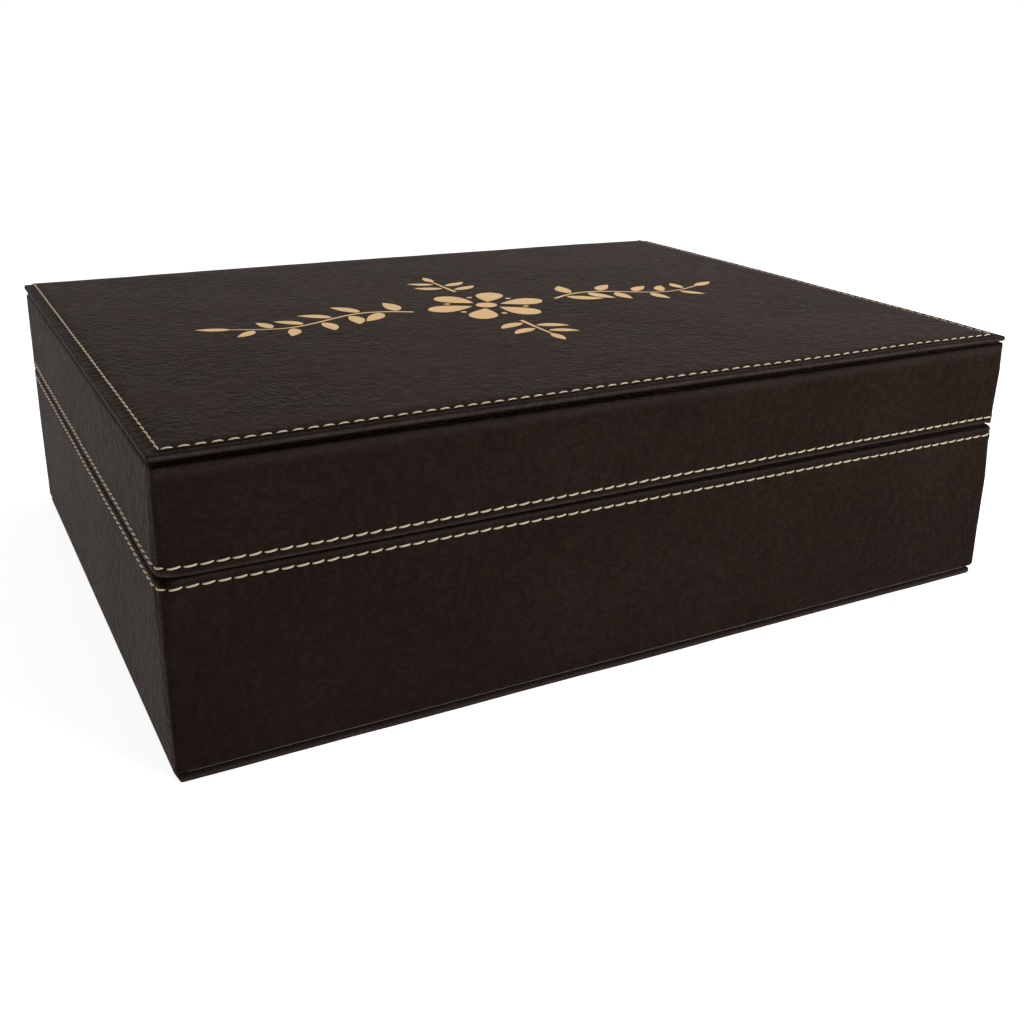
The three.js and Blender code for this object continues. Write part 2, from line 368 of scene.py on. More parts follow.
# Painted light from each vertex: below 0 it darkens the colour as painted shade, and above 0 it mixes in a
# paler colour as a painted highlight.
painted_light_value = add(leatherette, "Attribute", attribute_name="rub").outputs["Fac"]
painted_shade_factor = add(leatherette, "MapRange", {
    "Value": painted_light_value, "From Min": -1, "From Max": 0, "To Min": 0.1, "To Max": 1,
})
grain_shade = add(leatherette, "Math", {
    0: crease_shade, 1: pore_shade,
}, operation="MULTIPLY")
all_shade = add(leatherette, "Math", {
    0: grain_shade, 1: painted_shade_factor,
}, operation="MULTIPLY")
# The colour with the painted shade of the creases, the seam and the folds, and the pores' random tone.
shaded_colour = add(leatherette, "Mix", {
    "Factor": 1, 6: hide_colour, 7: all_shade,
}, data_type="RGBA", blend_type="MULTIPLY")
# Painted highlight: a paler grey-brown mixed in on edges and ridges.
painted_highlight_share = add(leatherette, "MapRange", {
    "Value": painted_light_value, "From Min": 0, "From Max": 2, "To Min": 0, "To Max": 0.48,
})
painted_light_colour = add(leatherette, "Mix", {
    "Factor": painted_highlight_share, 6: shaded_colour, 7: linear("#5c524e"),
}, data_type="RGBA")
dust = add(leatherette, "TexVoronoi", {
    "Vector": sheet_place, "Scale": 1 / dust_spacing, "Randomness": 1,
})
dust_spot = add(leatherette, "MapRange", {
    "Value": dust, "From Min": 0.012, "From Max": 0.022, "To Min": 0.16, "To Max": 0,
})
dusty_colour = add(leatherette, "Mix", {
    "Factor": dust_spot, 6: painted_light_colour, 7: linear("#b8b0a6"),
}, data_type="RGBA")
hide_roughness = add(leatherette, "MapRange", {
    "Value": creases, "From Min": 0.3, "From Max": 0.7, "To Min": 0.64, "To Max": 0.54,
})
hide_surface = add(leatherette, "BsdfPrincipled", {
    "Base Color": dusty_colour, "Roughness": hide_roughness,
    "IOR": 1.45, "Specular IOR Level": 0.02, "Normal": pore_relief,
    "Sheen Weight": 0.055, "Sheen Roughness": 0.4, "Sheen Tint": linear("#e6c9b4"),
})
add(leatherette, "OutputMaterial", {"Surface": hide_surface})

skin = 1.0 * MM
rim_width = 7.6 * MM
turn_in = 10 * MM
turn_in_bend = 0.9 * MM
bend_steps = (0.17, 0.33, 0.5, 0.67, 0.83, 1)
row_end = 5 * MM  # the wall rows stop this far from the back
# Lines of vertices lie close at the corners, the rim's fold, the stitches and the far fold.
corner_lines, corner_line_gap, corner_span = np.arange(-4.2, 4.3, 0.3) * MM, 0.12 * MM, 1.9
rim_lines = np.array([0, 0.25, 0.5, 0.9, 1.4]) * MM
row_lines = np.array([-0.3, -0.14, 0, 0.14, 0.3, 0.5, 0.8, 1.2, 1.8, 2.6, 3.6]) * MM
far_lines = np.array([7, 5, 3.6, 2.5, 1.6, 0.8]) * MM
plain_line_spacing, plain_line_gap = 4 * MM, 2 * MM
corner_at_seam = 4.5 * MM
corner_at_lid_top = 1.8 * MM
corner_fade = 26 * MM  # the corners get sharper over this distance from the seam
inner_corner = 0.5 * MM
# The sheet is folded over itself just before each front corner. fold_place and ridge_place are
# shares of the corner's radius.
fold_step, fold_place = 0.3 * MM, 0.3
step_start, step_top, step_end = -0.6 * MM, 0.1 * MM, 0.8 * MM
fold_fade = 9 * MM
fold_waves, fold_wave_length = 0.3, 2.5 * MM
fold_dip, dip_place, dip_width = 0.26 * MM, 1.6 * MM, 1.3 * MM
wave_height, wave_length = 0.09 * MM, 55 * MM  # the glued sheet is a little uneven
dimple_height, dimple_length = 0.02 * MM, 11 * MM
gather_height, gather_length = 0.07 * MM, 1.7 * MM  # and gathered where it turns in
gather_lie = (1, 1, 0.16)
far_gather_reach = 4 * MM
rim_gather_share, rim_gather_reach = 0.3, 3 * MM
box_end = 0.16  # the x of the box's ends
left_opening = 0.15 * MM  # extra width of the seam at the left-hand end
seam_opening = 1.5 * MM  # and at the right-hand end
seam_closing = 0.85  # the share of it that closes again round the right-hand corners
closing_start, closing_end = 154.5 * MM, 159.2 * MM
side_gape = 0.9 * MM  # the rims part a little more along the left side
left_end_start, left_end_full = 150 * MM, 159 * MM
gape_place, gape_length = 70 * MM, 100 * MM  # most of all this far in front of the middle
lid_opening_share, base_opening_share = 0.8, 0.2
opening_fade = 5 * MM  # the opening bends the walls this far from the seam
right_end_rise = 0.5 * MM  # at the right-hand end the lid's wall comes closer to the top panel
right_end_start, right_end_full, rise_start = 60 * MM, 155 * MM, 0.8
shoulder_spread = 0.55  # and its shoulder is fuller
spread_start, spread_full = 0.9, 0.99
row_drift = 0.4 * MM  # how far the base's row slants down to the right
row_drift_width = 2.4 * MM
wall_lean = 0.35 * MM  # the walls lean out towards the seam
lid_lean_back = 0.8 * MM
bow_share, bow_start = 0.8, 0.4  # how far the lid's top edge follows the panel on it
# The rims get painted highlights, and on the left side the lid's lip gets a painted highlight and the base's
# lip painted shade.
base_rim_highlight, base_rim_place, base_rim_width = 0.7, 0.5, 0.6 * MM
lid_rim_highlight, lid_rim_place, lid_rim_width = 1.2, 0.15 * MM, 0.45 * MM
left_rim_highlight, left_lip_highlight, left_lip_shade = 0.5, 1, 0.9
lip_start, lip_full = 155 * MM, 158.5 * MM
lid_lip_end, base_lip_end = (1.5 * MM, 2.5 * MM), (1.3 * MM, 2.7 * MM)
# So do the lid's shoulder and the ridges of the front corners, with painted shade on the fold beside each
# ridge.
shoulder_highlight, shoulder_place, shoulder_width = 0.5, 2 * MM, 1.5 * MM
ridge_place, ridge_width = 0.15, 0.45 * MM
fold_shade_place, fold_shade_width = 1.8 * MM, 1.2 * MM
base_ridge_shade, lid_ridge_shade = 0.2, 0.45
# The seam and the far folds get painted shade, where no light reaches in. Farther into the rim, the painted
# shade partly fades again.
seam_dark_start, seam_dark_full = 0.3 * MM, 0.8 * MM
turn_in_light, turn_in_start, turn_in_full = 0.75, 1.3 * MM, 2.6 * MM
speckle_share, speckle_size = 0.3, 1 * MM
wall_roll_place = 0.1  # each wrap is cut from another place of the roll, so that its grain differs


def quarter(step):
    """The sine and the cosine of this share of a quarter turn."""
    turn = step * math.pi / 2
    return math.sin(turn), math.cos(turn)


class Wall:
    """The skin round one tray: a loop of columns, and levels counted from the rim."""

    def __init__(
            self, node, rim_up, row_height, rim_radius, far_rise, far_inset, far_corner, far_gap, fine_far):
        """The rim is the CAD node's edge at the seam. The far edge, which ends far_gap short of the
        node's, has a fold of far_rise by far_inset."""
        low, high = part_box(node)
        self.middle = np.array([(low.x + high.x) / 2, (low.y + high.y) / 2])
        self.half = np.array([(high.x - low.x) / 2, (high.y - low.y) / 2])
        self.rim, self.up = (high.z, 1) if rim_up else (low.z, -1)
        self.height = high.z - low.z - far_gap
        self.row = abs(self.rim - row_height)
        self.rim_radius, self.far_rise, self.far_inset = rim_radius, far_rise, far_inset
        self.far_corner, self.fine_far = far_corner, fine_far
        self.side_run = high.y - row_end - low.y
        self.front_run = 2 * self.half[0]
        self.corners = ((self.side_run, 1), (self.side_run + self.front_run, -1))
        self.place_columns()

    def arc_to_outline(self, arc):
        """Turns distances along the rounded row into distances along the outline with square corners."""
        radius, side, front = corner_at_seam, self.side_run, self.front_run
        quarter = math.pi / 2 * radius
        outline = [0, side - radius, side + radius]
        outline += [side + front - radius, side + front + radius, 2 * side + front]
        steps = [side - radius, quarter, front - 2 * radius, quarter, side - radius]
        return np.interp(arc, np.concatenate([[0], np.cumsum(steps)]), outline), sum(steps)

    def place_columns(self):
        """Columns of vertices: close at the needle holes and round the front corners."""
        run = self.arc_to_outline(0)[1]
        self.holes = np.linspace(0, run, round(run / stitch_length) + 1)
        tried = np.linspace(0, run, 9999)
        corner_arcs = np.interp([place for place, _ in self.corners], self.arc_to_outline(tried)[0], tried)
        near_corner = (corner_arcs[:, None] + corner_lines).ravel()
        arcs = columns_along(self.holes, 0, run)
        is_hole = np.abs(arcs[:, None] - self.holes).min(1) < 1e-7
        clear = np.abs(arcs[:, None] - near_corner).min(1) > corner_line_gap
        arcs = np.sort(np.concatenate([arcs[clear | is_hole], near_corner]))
        sewn = self.arc_to_outline(arcs)[0]
        end = 2 * self.side_run + self.front_run
        corner = end + row_end
        radius, other = corner_at_seam, corner + self.front_run
        back = [end, corner - radius, corner + radius, other - radius, other + radius, other + row_end]
        parts = [1, 8, round(self.front_run / plain_spacing), 8, 1]
        rest = [np.linspace(a, b, n + 1)[:-1] for a, b, n in zip(back, back[1:], parts)]
        self.outline = np.concatenate([sewn[:-1], *rest])
        self.arc = np.concatenate([arcs[:-1], *[r - end + run for r in rest]])
        self.ring = len(self.outline)
        kept = [i for i in range(len(sewn) - 1) if np.abs(self.holes - arcs[i]).min() < 1e-7
                or min(abs(sewn[i] - place) for place, _ in self.corners) < corner_span * radius]
        self.coarse = np.array(kept + list(range(len(sewn) - 1, self.ring)))
        self.fine = np.arange(self.ring)

    def corner_point(self, outline):
        """The point of the square-cornered outline at this distance."""
        x, y = self.half
        side, front, full = self.side_run, self.front_run, 2 * y
        stops = [0, side, side + front, side + front + full, side + 2 * front + full, 2 * front + 2 * full]
        xs = [-x, -x, x, x, -x, -x]
        ys = [side - y, -y, -y, y, y, side - y]
        return np.interp(outline, stops, xs), np.interp(outline, stops, ys)

    def plan(self, outline, depth, radius):
        """Points and outward normals at a depth into the wall, with rounded corners."""
        x, y = self.corner_point(outline)
        half = self.half - depth
        x, y = x * half[0] / self.half[0], y * half[1] / self.half[1]
        to_side, to_front = half[0] - np.abs(x), half[1] - np.abs(y)
        on_side = to_side < to_front
        away = np.where(on_side, to_front, to_side)
        turn = math.pi / 4 * np.clip(1 - away / np.maximum(radius, 1e-9), 0, 1)
        rounded = away < radius
        lean_x = np.where(on_side, np.cos(turn), np.sin(turn))
        lean_y = np.where(on_side, np.sin(turn), np.cos(turn))
        px = np.where(rounded, half[0] - radius + radius * lean_x, np.abs(x)) * np.sign(x)
        py = np.where(rounded, half[1] - radius + radius * lean_y, np.abs(y)) * np.sign(y)
        normal_x = np.where(rounded, lean_x, np.where(on_side, 1, 0)) * np.sign(x)
        normal_y = np.where(rounded, lean_y, np.where(on_side, 0, 1)) * np.sign(y)
        return np.stack([px, py], 1) + self.middle, np.stack([normal_x, normal_y], 1)

    def surface(self, outline, arc, level, depth=0, outward=1, sewn=True):
        """Points of the skin and its outward normals, at a level below the rim and a depth inside."""
        share = np.clip(level / self.height, 0, 1)
        radius = self.corner_radius(level)
        flat, normal = self.plan(outline, depth, np.maximum(radius - depth, inner_corner))
        z = self.rim - self.up * level + 0 * outline
        place = np.column_stack([flat, z])
        away = np.column_stack([normal, 0 * z])
        swell = self.lean(share) + wave_height * ripples(place, wave_length, 3)
        swell = swell + dimple_height * ripples(place, dimple_length, 4)
        if sewn:
            swell = swell + sewn_relief(arc, level - self.row + 0 * arc, self.holes)
            at_far = hill(level - self.height, far_gather_reach) if self.fine_far else 0
            at_rim = rim_gather_share * hill(level, rim_gather_reach)
            gathers = ripples(place * gather_lie, gather_length, 5)
            swell = swell + gather_height * gathers * (at_far + at_rim)
        for corner, way in self.corners:
            past = (outline - corner) * way + radius * fold_place
            overlap = smooth_step(past, step_start, step_top) - smooth_step(past, step_end, fold_fade)
            swell = swell + fold_step * overlap * (1 + fold_waves * ripples(place, fold_wave_length, 6))
            swell = swell - fold_dip * hill(past + dip_place, dip_width)
        place += away * (swell * outward)[:, None]
        if self.up > 0:
            at_row = math.exp(-((level - self.row) / row_drift_width) ** 2)
            place[:, 2] -= row_drift * place[:, 0] / box_end * at_row
        place[:, 2] -= self.up * self.opening(place) * math.exp(-level / opening_fade)
        place[:, 2] += self.far_bow(place) * smooth_step(share, bow_start, 1)
        if self.fine_far:
            at_right = smooth_step(place[:, 0], right_end_start, right_end_full)
            place[:, 2] += right_end_rise * at_right * smooth_step(share, rise_start, 1)
            spread = shoulder_spread * depth * at_right * smooth_step(share, spread_start, spread_full)
            place += away * spread[:, None]
        return place, away

    def opening(self, place):
        """How far this tray's rim stands off from the plane of the seam."""
        x, y = place[:, 0], place[:, 1]
        opening = left_opening + (seam_opening - left_opening) * smooth_step(x, -box_end, box_end)
        opening *= 1 - seam_closing * smooth_step(x, closing_start, closing_end)
        at_left = smooth_step(-x, left_end_start, left_end_full)
        opening += side_gape * at_left * hill(y + gape_place, gape_length)
        return opening * (lid_opening_share if self.up < 0 else base_opening_share)

    def corner_radius(self, level):
        """The corners are roundest at the seam."""
        return corner_at_seam + (self.far_corner - corner_at_seam) * smooth_step(level, 0, corner_fade)

    def paint_light_and_shade(self, outline, place, level, depth):
        """Painted highlights on the rims, the shoulder and the corners' ridges, and painted shade inside the
        seam and folds.
        """
        speckle = 1 + speckle_share * ripples(place, speckle_size, 7)
        on_left = smooth_step(-place[:, 0], lip_start, lip_full)
        if self.up > 0:
            rim = hill(level - base_rim_place * self.rim_radius, base_rim_width) * speckle
            rub = base_rim_highlight * rim * (1 - on_left)
            rub = rub - left_lip_shade * on_left * (1 - smooth_step(level, *base_lip_end))
            ridge_shade = base_ridge_shade
        else:
            rim = hill(level - self.rim_radius - lid_rim_place, lid_rim_width) * speckle
            rub = (lid_rim_highlight + left_rim_highlight * on_left) * rim
            rub = rub + left_lip_highlight * on_left * (1 - smooth_step(level, *lid_lip_end))
            ridge_shade = lid_ridge_shade
        if self.fine_far:
            rub = rub + shoulder_highlight * hill(level - self.height + shoulder_place, shoulder_width)
        for corner, way in self.corners:
            past = (outline - corner) * way + self.corner_radius(level) * ridge_place
            fold_shade = hill(past + fold_shade_place, fold_shade_width)
            rub = rub + hill(past, ridge_width) * speckle - ridge_shade * fold_shade
        dark = smooth_step(depth, seam_dark_start, seam_dark_full)
        if level < self.row:
            dark = dark - turn_in_light * smooth_step(depth, turn_in_start, turn_in_full)
        return rub * (1 - dark) - dark

    def lean(self, share):
        """The walls lean out towards the seam a little."""
        return wall_lean - (wall_lean if self.up > 0 else lid_lean_back) * share

    def far_bow(self, place):
        """The lid's top edge bows up with the panel that lies on it."""
        if self.up > 0:
            return 0 * place[:, 0]
        return panel_crown(place[:, 0], place[:, 1]) * bow_share

    def levels(self):
        """Levels of the outer face from the rim's fold to the far fold, each with whether it is fine."""
        near, close = self.rim_radius + rim_lines, self.row + row_lines
        last = self.height - self.far_rise
        far = last - far_lines if self.fine_far else []
        start = close[-1] + plain_line_gap
        stop = (far[0] if self.fine_far else last) - plain_line_gap
        middle = np.linspace(start, stop, max(2, round((stop - start) / plain_line_spacing)))
        chosen = [(v, True) for v in (*near, *close)] + [(v, False) for v in middle]
        return chosen + [(v, True) for v in far] + [(last, self.fine_far)]

    def build(self, name, body):
        """The whole skin: outer face, rim, turn-in, and the hidden inner faces. Each line of vertices has
        a level, a depth, whether it is fine, and how much of the outer face's unevenness it takes."""
        rows = [(level, 0, fine, 1) for level, fine in self.levels()]
        rim = []
        for step in (0.2, 0.4, 0.6, 0.8, 1):
            level, depth = (self.rim_radius * (1 - part) for part in quarter(step))
            rim.append((level, depth, True, 1 - step))
        bend, inside = turn_in_bend, rim_width
        rim.append((0, inside * 0.6, False, 0))
        for step in (0, 0.25, 0.5, 0.75, 1):
            sine, cosine = quarter(step)
            rim.append((bend * (1 - cosine), inside - bend + bend * sine, False, 0))
        rim += [(turn_in * share, inside, False, 0) for share in (0.4, 0.7, 1)]
        rim += [(turn_in, inside - skin, False, 0), (skin, inside - skin, False, 0), (skin, skin, False, 0)]
        far = []
        for step in bend_steps:
            sine, cosine = quarter(step)
            level = self.height - self.far_rise * (1 - sine)
            far.append((level, self.far_inset * (1 - cosine), self.fine_far, 1 - step))
        far += [(self.height, inside * 0.6, False, 0), (self.height, inside, False, 0)]
        far += [(self.height - skin, inside, False, 0), (self.height - skin, skin, False, 0)]
        points, sheet, rub, faces, made = [], [], [], [], []
        run, first, previous = 0, 0, None
        for level, depth, fine, outward in far[::-1] + rows[::-1] + rim:
            columns = self.fine if fine else self.coarse
            outline, arc = self.outline[columns], self.arc[columns]
            place, _ = self.surface(outline, arc, level, depth, outward, sewn=outward > 0)
            if previous is not None:
                run += math.hypot(level - previous[0], depth - previous[1])
            previous = (level, depth)
            points.append(place)
            # Painted highlight and painted shade of each vertex.
            rub.append(self.paint_light_and_shade(outline, place, level, depth))
            unrolled = run * self.up + 0 * arc
            sheet.append(np.column_stack([unrolled, arc, 0 * arc + wall_roll_place * self.up]))
            made.append((columns, first))
            first += len(columns)
        for lower, upper in zip(made, made[1:] + made[:1]):
            join_rows(faces, *((lower, upper) if self.up > 0 else (upper, lower)), self.ring)
        piece = make_piece(
            name, np.vstack(points), faces, leatherette, body, np.vstack(sheet), np.concatenate(rub))
        return piece


crown_length, crown_width = 0.34, 0.27
crown_rise, crown_middle, crown_drop = 0.35 * MM, 0.2 * MM, 0.5 * MM


def panel_crown(x, y):
    """How far the board in the top panel is bowed: up in the middle, and down at the corners."""
    along = np.cos(math.pi * np.clip(x / crown_length, -0.5, 0.5))
    across = np.cos(math.pi * np.clip(y / crown_width, -0.5, 0.5))
    return crown_rise * (along + across) + crown_middle * along * across - crown_drop


base_wall = Wall(
    "base_wall_cover", rim_up=True, row_height=seam - 3 * MM, rim_radius=0.85 * MM, far_rise=1.4 * MM,
    far_inset=1.1 * MM, far_corner=2.2 * MM, far_gap=0.5 * MM, fine_far=False)
base_wall_piece = base_wall.build("base_wall_skin", "base")
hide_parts("base_wall_cover")

# Lid wall cover
# The same strip round the lid's walls. Its stitches run 3.2 mm above the seam, and its top edge
# is gathered a little where it is turned in under the top panel.

lid_wall = Wall(
    "lid_wall_cover", rim_up=False, row_height=seam + 3.2 * MM, rim_radius=0.5 * MM, far_rise=2.8 * MM,
    far_inset=1.35 * MM, far_corner=corner_at_lid_top, far_gap=0.9 * MM, fine_far=True)
lid_wall_piece = lid_wall.build("lid_wall_skin", "lid")
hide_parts("lid_wall_cover")

# Rows of stitching on the walls
# Lockstitch in waxed three-ply polyester thread. Each stitch comes up out of one needle hole,
# lies over the leatherette and dives into the next.

thread_radius = 0.3 * MM
stitch_rise = 0.14 * MM
stitch_sink = 1.1 * MM
stitch_slant = 0.22 * MM
rise_range, slant_range = (0.85, 1.15), (0.6, 1.4)  # no two stitches are quite the same
dive_sharpness = 3.2
pressed_girth, lifted_girth = 0.85, 0.15  # a thread drawn into the sheet is thinner
end_taper = 0.3
ply_lay = 2.4 * MM  # length of one full twist
ply_count = 3
ply_relief = 0.1
# Painted shade between the plies: ply_shade is the middle of its share, ply_contrast its swing.
ply_shade, ply_contrast = 0.75, 0.5
rings = 14
ring_sides = 12
filament_size = 0.12 * MM  # coarser than real filaments, which are too thin to be seen
soiling_size = 18 * MM

# Waxed polyester thread: smooth cream fibre with a low waxy shine, and painted shade between the plies.
thread = new_material("waxed_polyester_thread")
thread_place = add(thread, "TexCoord").outputs["Object"]
filaments = add(thread, "TexNoise", {
    "Vector": thread_place, "Scale": 1 / filament_size, "Detail": 2,
})
soiling = add(thread, "TexNoise", {
    "Vector": thread_place, "Scale": 1 / soiling_size, "Detail": 3,
})
thread_tone = add(thread, "Mix", {
    "Factor": soiling, 6: linear("#fff3da"), 7: linear("#f0dfbb"),
}, data_type="RGBA")
# Painted shade between the plies mixes in a darker tan.
between_ply_shade = add(thread, "Attribute", attribute_name="ply").outputs["Fac"]
thread_colour = add(thread, "Mix", {
    "Factor": between_ply_shade, 6: linear("#a98451"), 7: thread_tone,
}, data_type="RGBA")
filament_relief = add(thread, "Bump", {
    "Height": filaments, "Strength": 0.5, "Distance": 0.03 * MM,
})
thread_surface = add(thread, "BsdfPrincipled", {
    "Base Color": thread_colour, "Roughness": 0.55, "Specular IOR Level": 0.35,
    "Normal": filament_relief,
})
add(thread, "OutputMaterial", {"Surface": thread_surface})


def sew(name, body, holes, along, flat, *nodes):
    """One row of stitches between these holes. along gives the leatherette's points and normals there,
    and a flat share below 1 draws the thread into the leatherette."""
    share = np.linspace(0, 1, rings)
    starts, gaps = holes[:-1, None], np.diff(holes)[:, None]
    place, normal = along((starts + gaps * share).ravel())
    count = len(holes) - 1
    place, normal = place.reshape(count, rings, 3), normal.reshape(count, rings, 3)
    forward = np.gradient(place, axis=1)
    forward /= np.linalg.norm(forward, axis=2)[..., None]
    sideways = np.cross(normal, forward)
    random = np.random.default_rng(len(name))
    bow = np.abs(2 * share - 1) ** dive_sharpness
    rise = flat * stitch_rise * random.uniform(*rise_range, (count, 1))
    lift = rise - (rise + stitch_sink) * bow
    slant = stitch_slant * random.uniform(*slant_range, (count, 1)) * (2 * share - 1)
    middle = place + normal * lift[..., None] + sideways * slant[..., None]
    forward = np.gradient(middle, axis=1)
    step = np.linalg.norm(np.diff(middle, axis=1), axis=2)
    travelled = np.concatenate([np.zeros((count, 1)), np.cumsum(step, axis=1)], axis=1)
    forward /= np.linalg.norm(forward, axis=2)[..., None]
    upward = normal - forward * (normal * forward).sum(2)[..., None]
    upward /= np.linalg.norm(upward, axis=2)[..., None]
    sideways = np.cross(upward, forward)
    turn = np.arange(ring_sides) / ring_sides * 2 * math.pi
    start = random.uniform(0, 2 * math.pi, (count, 1, 1))
    ply = np.cos(ply_count * (turn - 2 * math.pi * travelled[..., None] / ply_lay) + start)
    girth = thread_radius * (pressed_girth + lifted_girth * flat) * (1 - end_taper * bow)[None, :, None]
    girth = girth * (1 + ply_relief * ply)
    round_it = sideways[:, :, None] * np.cos(turn)[:, None] + upward[:, :, None] * np.sin(turn)[:, None]
    points = (middle[:, :, None] + round_it * girth[..., None]).reshape(-1, 3)
    faces = []
    for stitch in range(count):
        first = stitch * rings * ring_sides
        for ring in range(rings - 1):
            low = first + ring * ring_sides
            for side in range(ring_sides):
                after = (side + 1) % ring_sides
                faces.append([low + side, low + after, low + ring_sides + after, low + ring_sides + side])
        faces.append(list(range(first, first + ring_sides))[::-1])
        faces.append(list(range(first + (rings - 1) * ring_sides, first + rings * ring_sides)))
    piece = make_piece(name, points, faces, thread, body)
    # Painted shade between the plies, as the share of the thread's full tone.
    depth = piece.data.attributes.new("ply", "FLOAT", "POINT")
    depth.data.foreach_set("value", np.clip(ply_shade + ply_contrast * ply, 0, 1).astype(np.float32).ravel())
    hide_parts(*nodes)


def sew_wall(name, body, wall, node):
    """The row of stitches round one tray."""
    def along(arc):
        return wall.surface(wall.arc_to_outline(arc)[0], arc, wall.row, sewn=False)

    sew(name, body, wall.holes, along, 1, node)


sew_wall("base_rim_stitches", "base", base_wall, "base_rim_thread")
sew_wall("lid_rim_stitches", "lid", lid_wall, "lid_rim_thread")

# Case cover
# One sheet of leatherette. It wraps the top board, bends down over the back, is the hinge at
# the seam, and wraps the bottom board. Its edges are thinned, turned under and glued.

top_low, top_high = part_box("lid_case_cover")
bottom_low, bottom_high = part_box("base_case_cover")
back_bend = 1.5 * MM
back_narrowing, narrowing_reach = 2 * MM, 1 * MM
flap_skin = top_high.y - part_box("lid_wall_cover")[1].y
panel_depth = 2.36 * MM
board_end, board_gap = 1.2 * MM, 0.2 * MM  # where the sheet leaves the boards at the back
panel_row_inset = 4 * MM
smooth_from = 10 * MM
row_to_fold = 0.9 * MM
base_row_end = 3 * MM
panel_wave_height, panel_wave_length = 0.1 * MM, 60 * MM
panel_dimple_height, panel_dimple_length = 0.035 * MM, 15 * MM
fold_reach = 2.5 * MM
fold_groove, fold_groove_width = 0.3 * MM, 1.2 * MM
mitre_radius = 1.2 * MM
bottom_mitre_radius = 2 * MM
least_mitre_radius = 0.12 * MM
mitre_fade = 30 * MM
flange_step = 0.42 * MM  # outside the stitches the panel's edge is thinner
flange_start, flange_end = 2.7 * MM, 3.6 * MM
padding_rise = 0.35 * MM  # inside them it is padded
padding_start, padding_full = 4 * MM, 7.4 * MM
padding_end = 6 * MM
edge_bead = 0.15 * MM  # the sheet's fold stands up along the panel's edge
edge_bead_inset, edge_bead_width = 0.85 * MM, 0.5 * MM
bottom_spread = 0.3 * MM
case_roll_place = 0.3

quarter_bend = math.pi / 2 * back_bend
top_end = top_high.y - top_low.y - back_bend
back_start = top_end + quarter_bend
back_end = back_start + top_high.z - bottom_low.z - 2 * back_bend
bottom_start = back_end + quarter_bend
sheet_end = bottom_start + bottom_high.y - back_bend - bottom_low.y + bottom_spread


def down_the_back(height):
    """The distance along the sheet at which it passes this height on the back."""
    return back_start + top_high.z - back_bend - height


def case_half_width(v):
    """Half the width of the wrapped sheet at a distance v from the top panel's front edge."""
    narrowing = smooth_step(v, top_end - narrowing_reach, back_start + narrowing_reach)
    widening = smooth_step(v, back_end - narrowing_reach, bottom_start + narrowing_reach)
    back_half = top_high.x - back_narrowing
    return top_high.x - back_narrowing * narrowing + (bottom_high.x + bottom_spread - back_half) * widening


def case_depth(v):
    """The thickness of the wrapped panel, or of the sheet alone on the back."""
    panel = 1 - smooth_step(v, top_end - board_end, top_end + board_gap)
    panel = panel + smooth_step(v, bottom_start - board_gap, bottom_start + board_end)
    return flap_skin + (panel_depth - flap_skin) * panel


def case_point(x, v, depth):
    """A point of the case from its place on the flat sheet and its depth under the surface."""
    top_turn = np.clip((v - top_end) / back_bend, 0, math.pi / 2)
    bottom_turn = np.clip((v - back_end) / back_bend, 0, math.pi / 2)
    turn = top_turn + bottom_turn
    y = top_low.y + np.clip(v, -1, top_end) + back_bend * (np.sin(top_turn) - 1 + np.cos(bottom_turn))
    y -= np.clip(v - bottom_start, 0, 1)
    z = top_high.z - back_bend * (1 - np.cos(top_turn) + np.sin(bottom_turn))
    z -= np.clip(v - back_start, 0, back_end - back_start)
    lift = panel_crown(x, y) * np.clip((z - seam) / (top_high.z - seam), 0, 1)
    return np.column_stack([x, y - depth * np.sin(turn), z - depth * np.cos(turn) + lift])


def holes_between(start, end):
    """Needle holes a stitch apart, with one at each end."""
    return np.linspace(start, end, round((end - start) / stitch_length) + 1)


front_half = top_high.x - panel_row_inset
front_holes = holes_between(-front_half, front_half)
lid_side_holes = holes_between(panel_row_inset, down_the_back(seam + fold_reach + row_to_fold))
base_back_holes = holes_between(
    down_the_back(seam - fold_reach - row_to_fold), down_the_back(base_row_end))


def case_swell(x, v, along, across, rows):
    """How far the sheet stands out: soft unevenness, stitches, and the groove of the fold."""
    flat = np.column_stack([x, v, 0 * v])
    swell = panel_wave_height * ripples(flat, panel_wave_length, 8)
    swell = swell + panel_dimple_height * ripples(flat, panel_dimple_length, 9)
    inset = across + panel_row_inset
    on_top = 1 - smooth_step(v, top_end - padding_end, top_end)
    swell = swell + padding_rise * on_top * smooth_step(inset, padding_start, padding_full)
    for holes in rows:
        swell = swell + sewn_relief(along, across, holes)
    if rows:
        swell = swell - flange_step * (1 - smooth_step(inset, flange_start, flange_end))
        swell = swell + edge_bead * on_top * hill(inset - edge_bead_inset, edge_bead_width)
    return swell - fold_groove * hill(v - down_the_back(seam), fold_groove_width)


# Columns run round the sheet's edge: along the top's front, the right side, the bottom's front
# and the left side.
front_columns = columns_along(front_holes, -front_half, front_half)
underside = bottom_start + 0.5 * MM
side_stops = [
    (columns_along(lid_side_holes, panel_row_inset, lid_side_holes[-1]), True),
    (np.linspace(lid_side_holes[-1], base_back_holes[0], 19), False),
    (columns_along(base_back_holes, base_back_holes[0], base_back_holes[-1]), True),
    (np.linspace(base_back_holes[-1], underside, 9), False),
    (np.linspace(underside, sheet_end - panel_row_inset, 56), False),
]
bends = ((top_end + back_start) / 2, (back_end + bottom_start) / 2)
near_bend = 2.2 * MM
side_columns, side_coarse = [], []
for stops, sewn in side_stops:
    for number, v in enumerate(stops[:-1]):
        side_columns.append(v)
        bent = any(abs(v - bend) < near_bend for bend in bends)
        side_coarse.append(not sewn or number % len(column_shares) == 0 or bent)
side_columns = np.array(side_columns + [sheet_end - panel_row_inset])
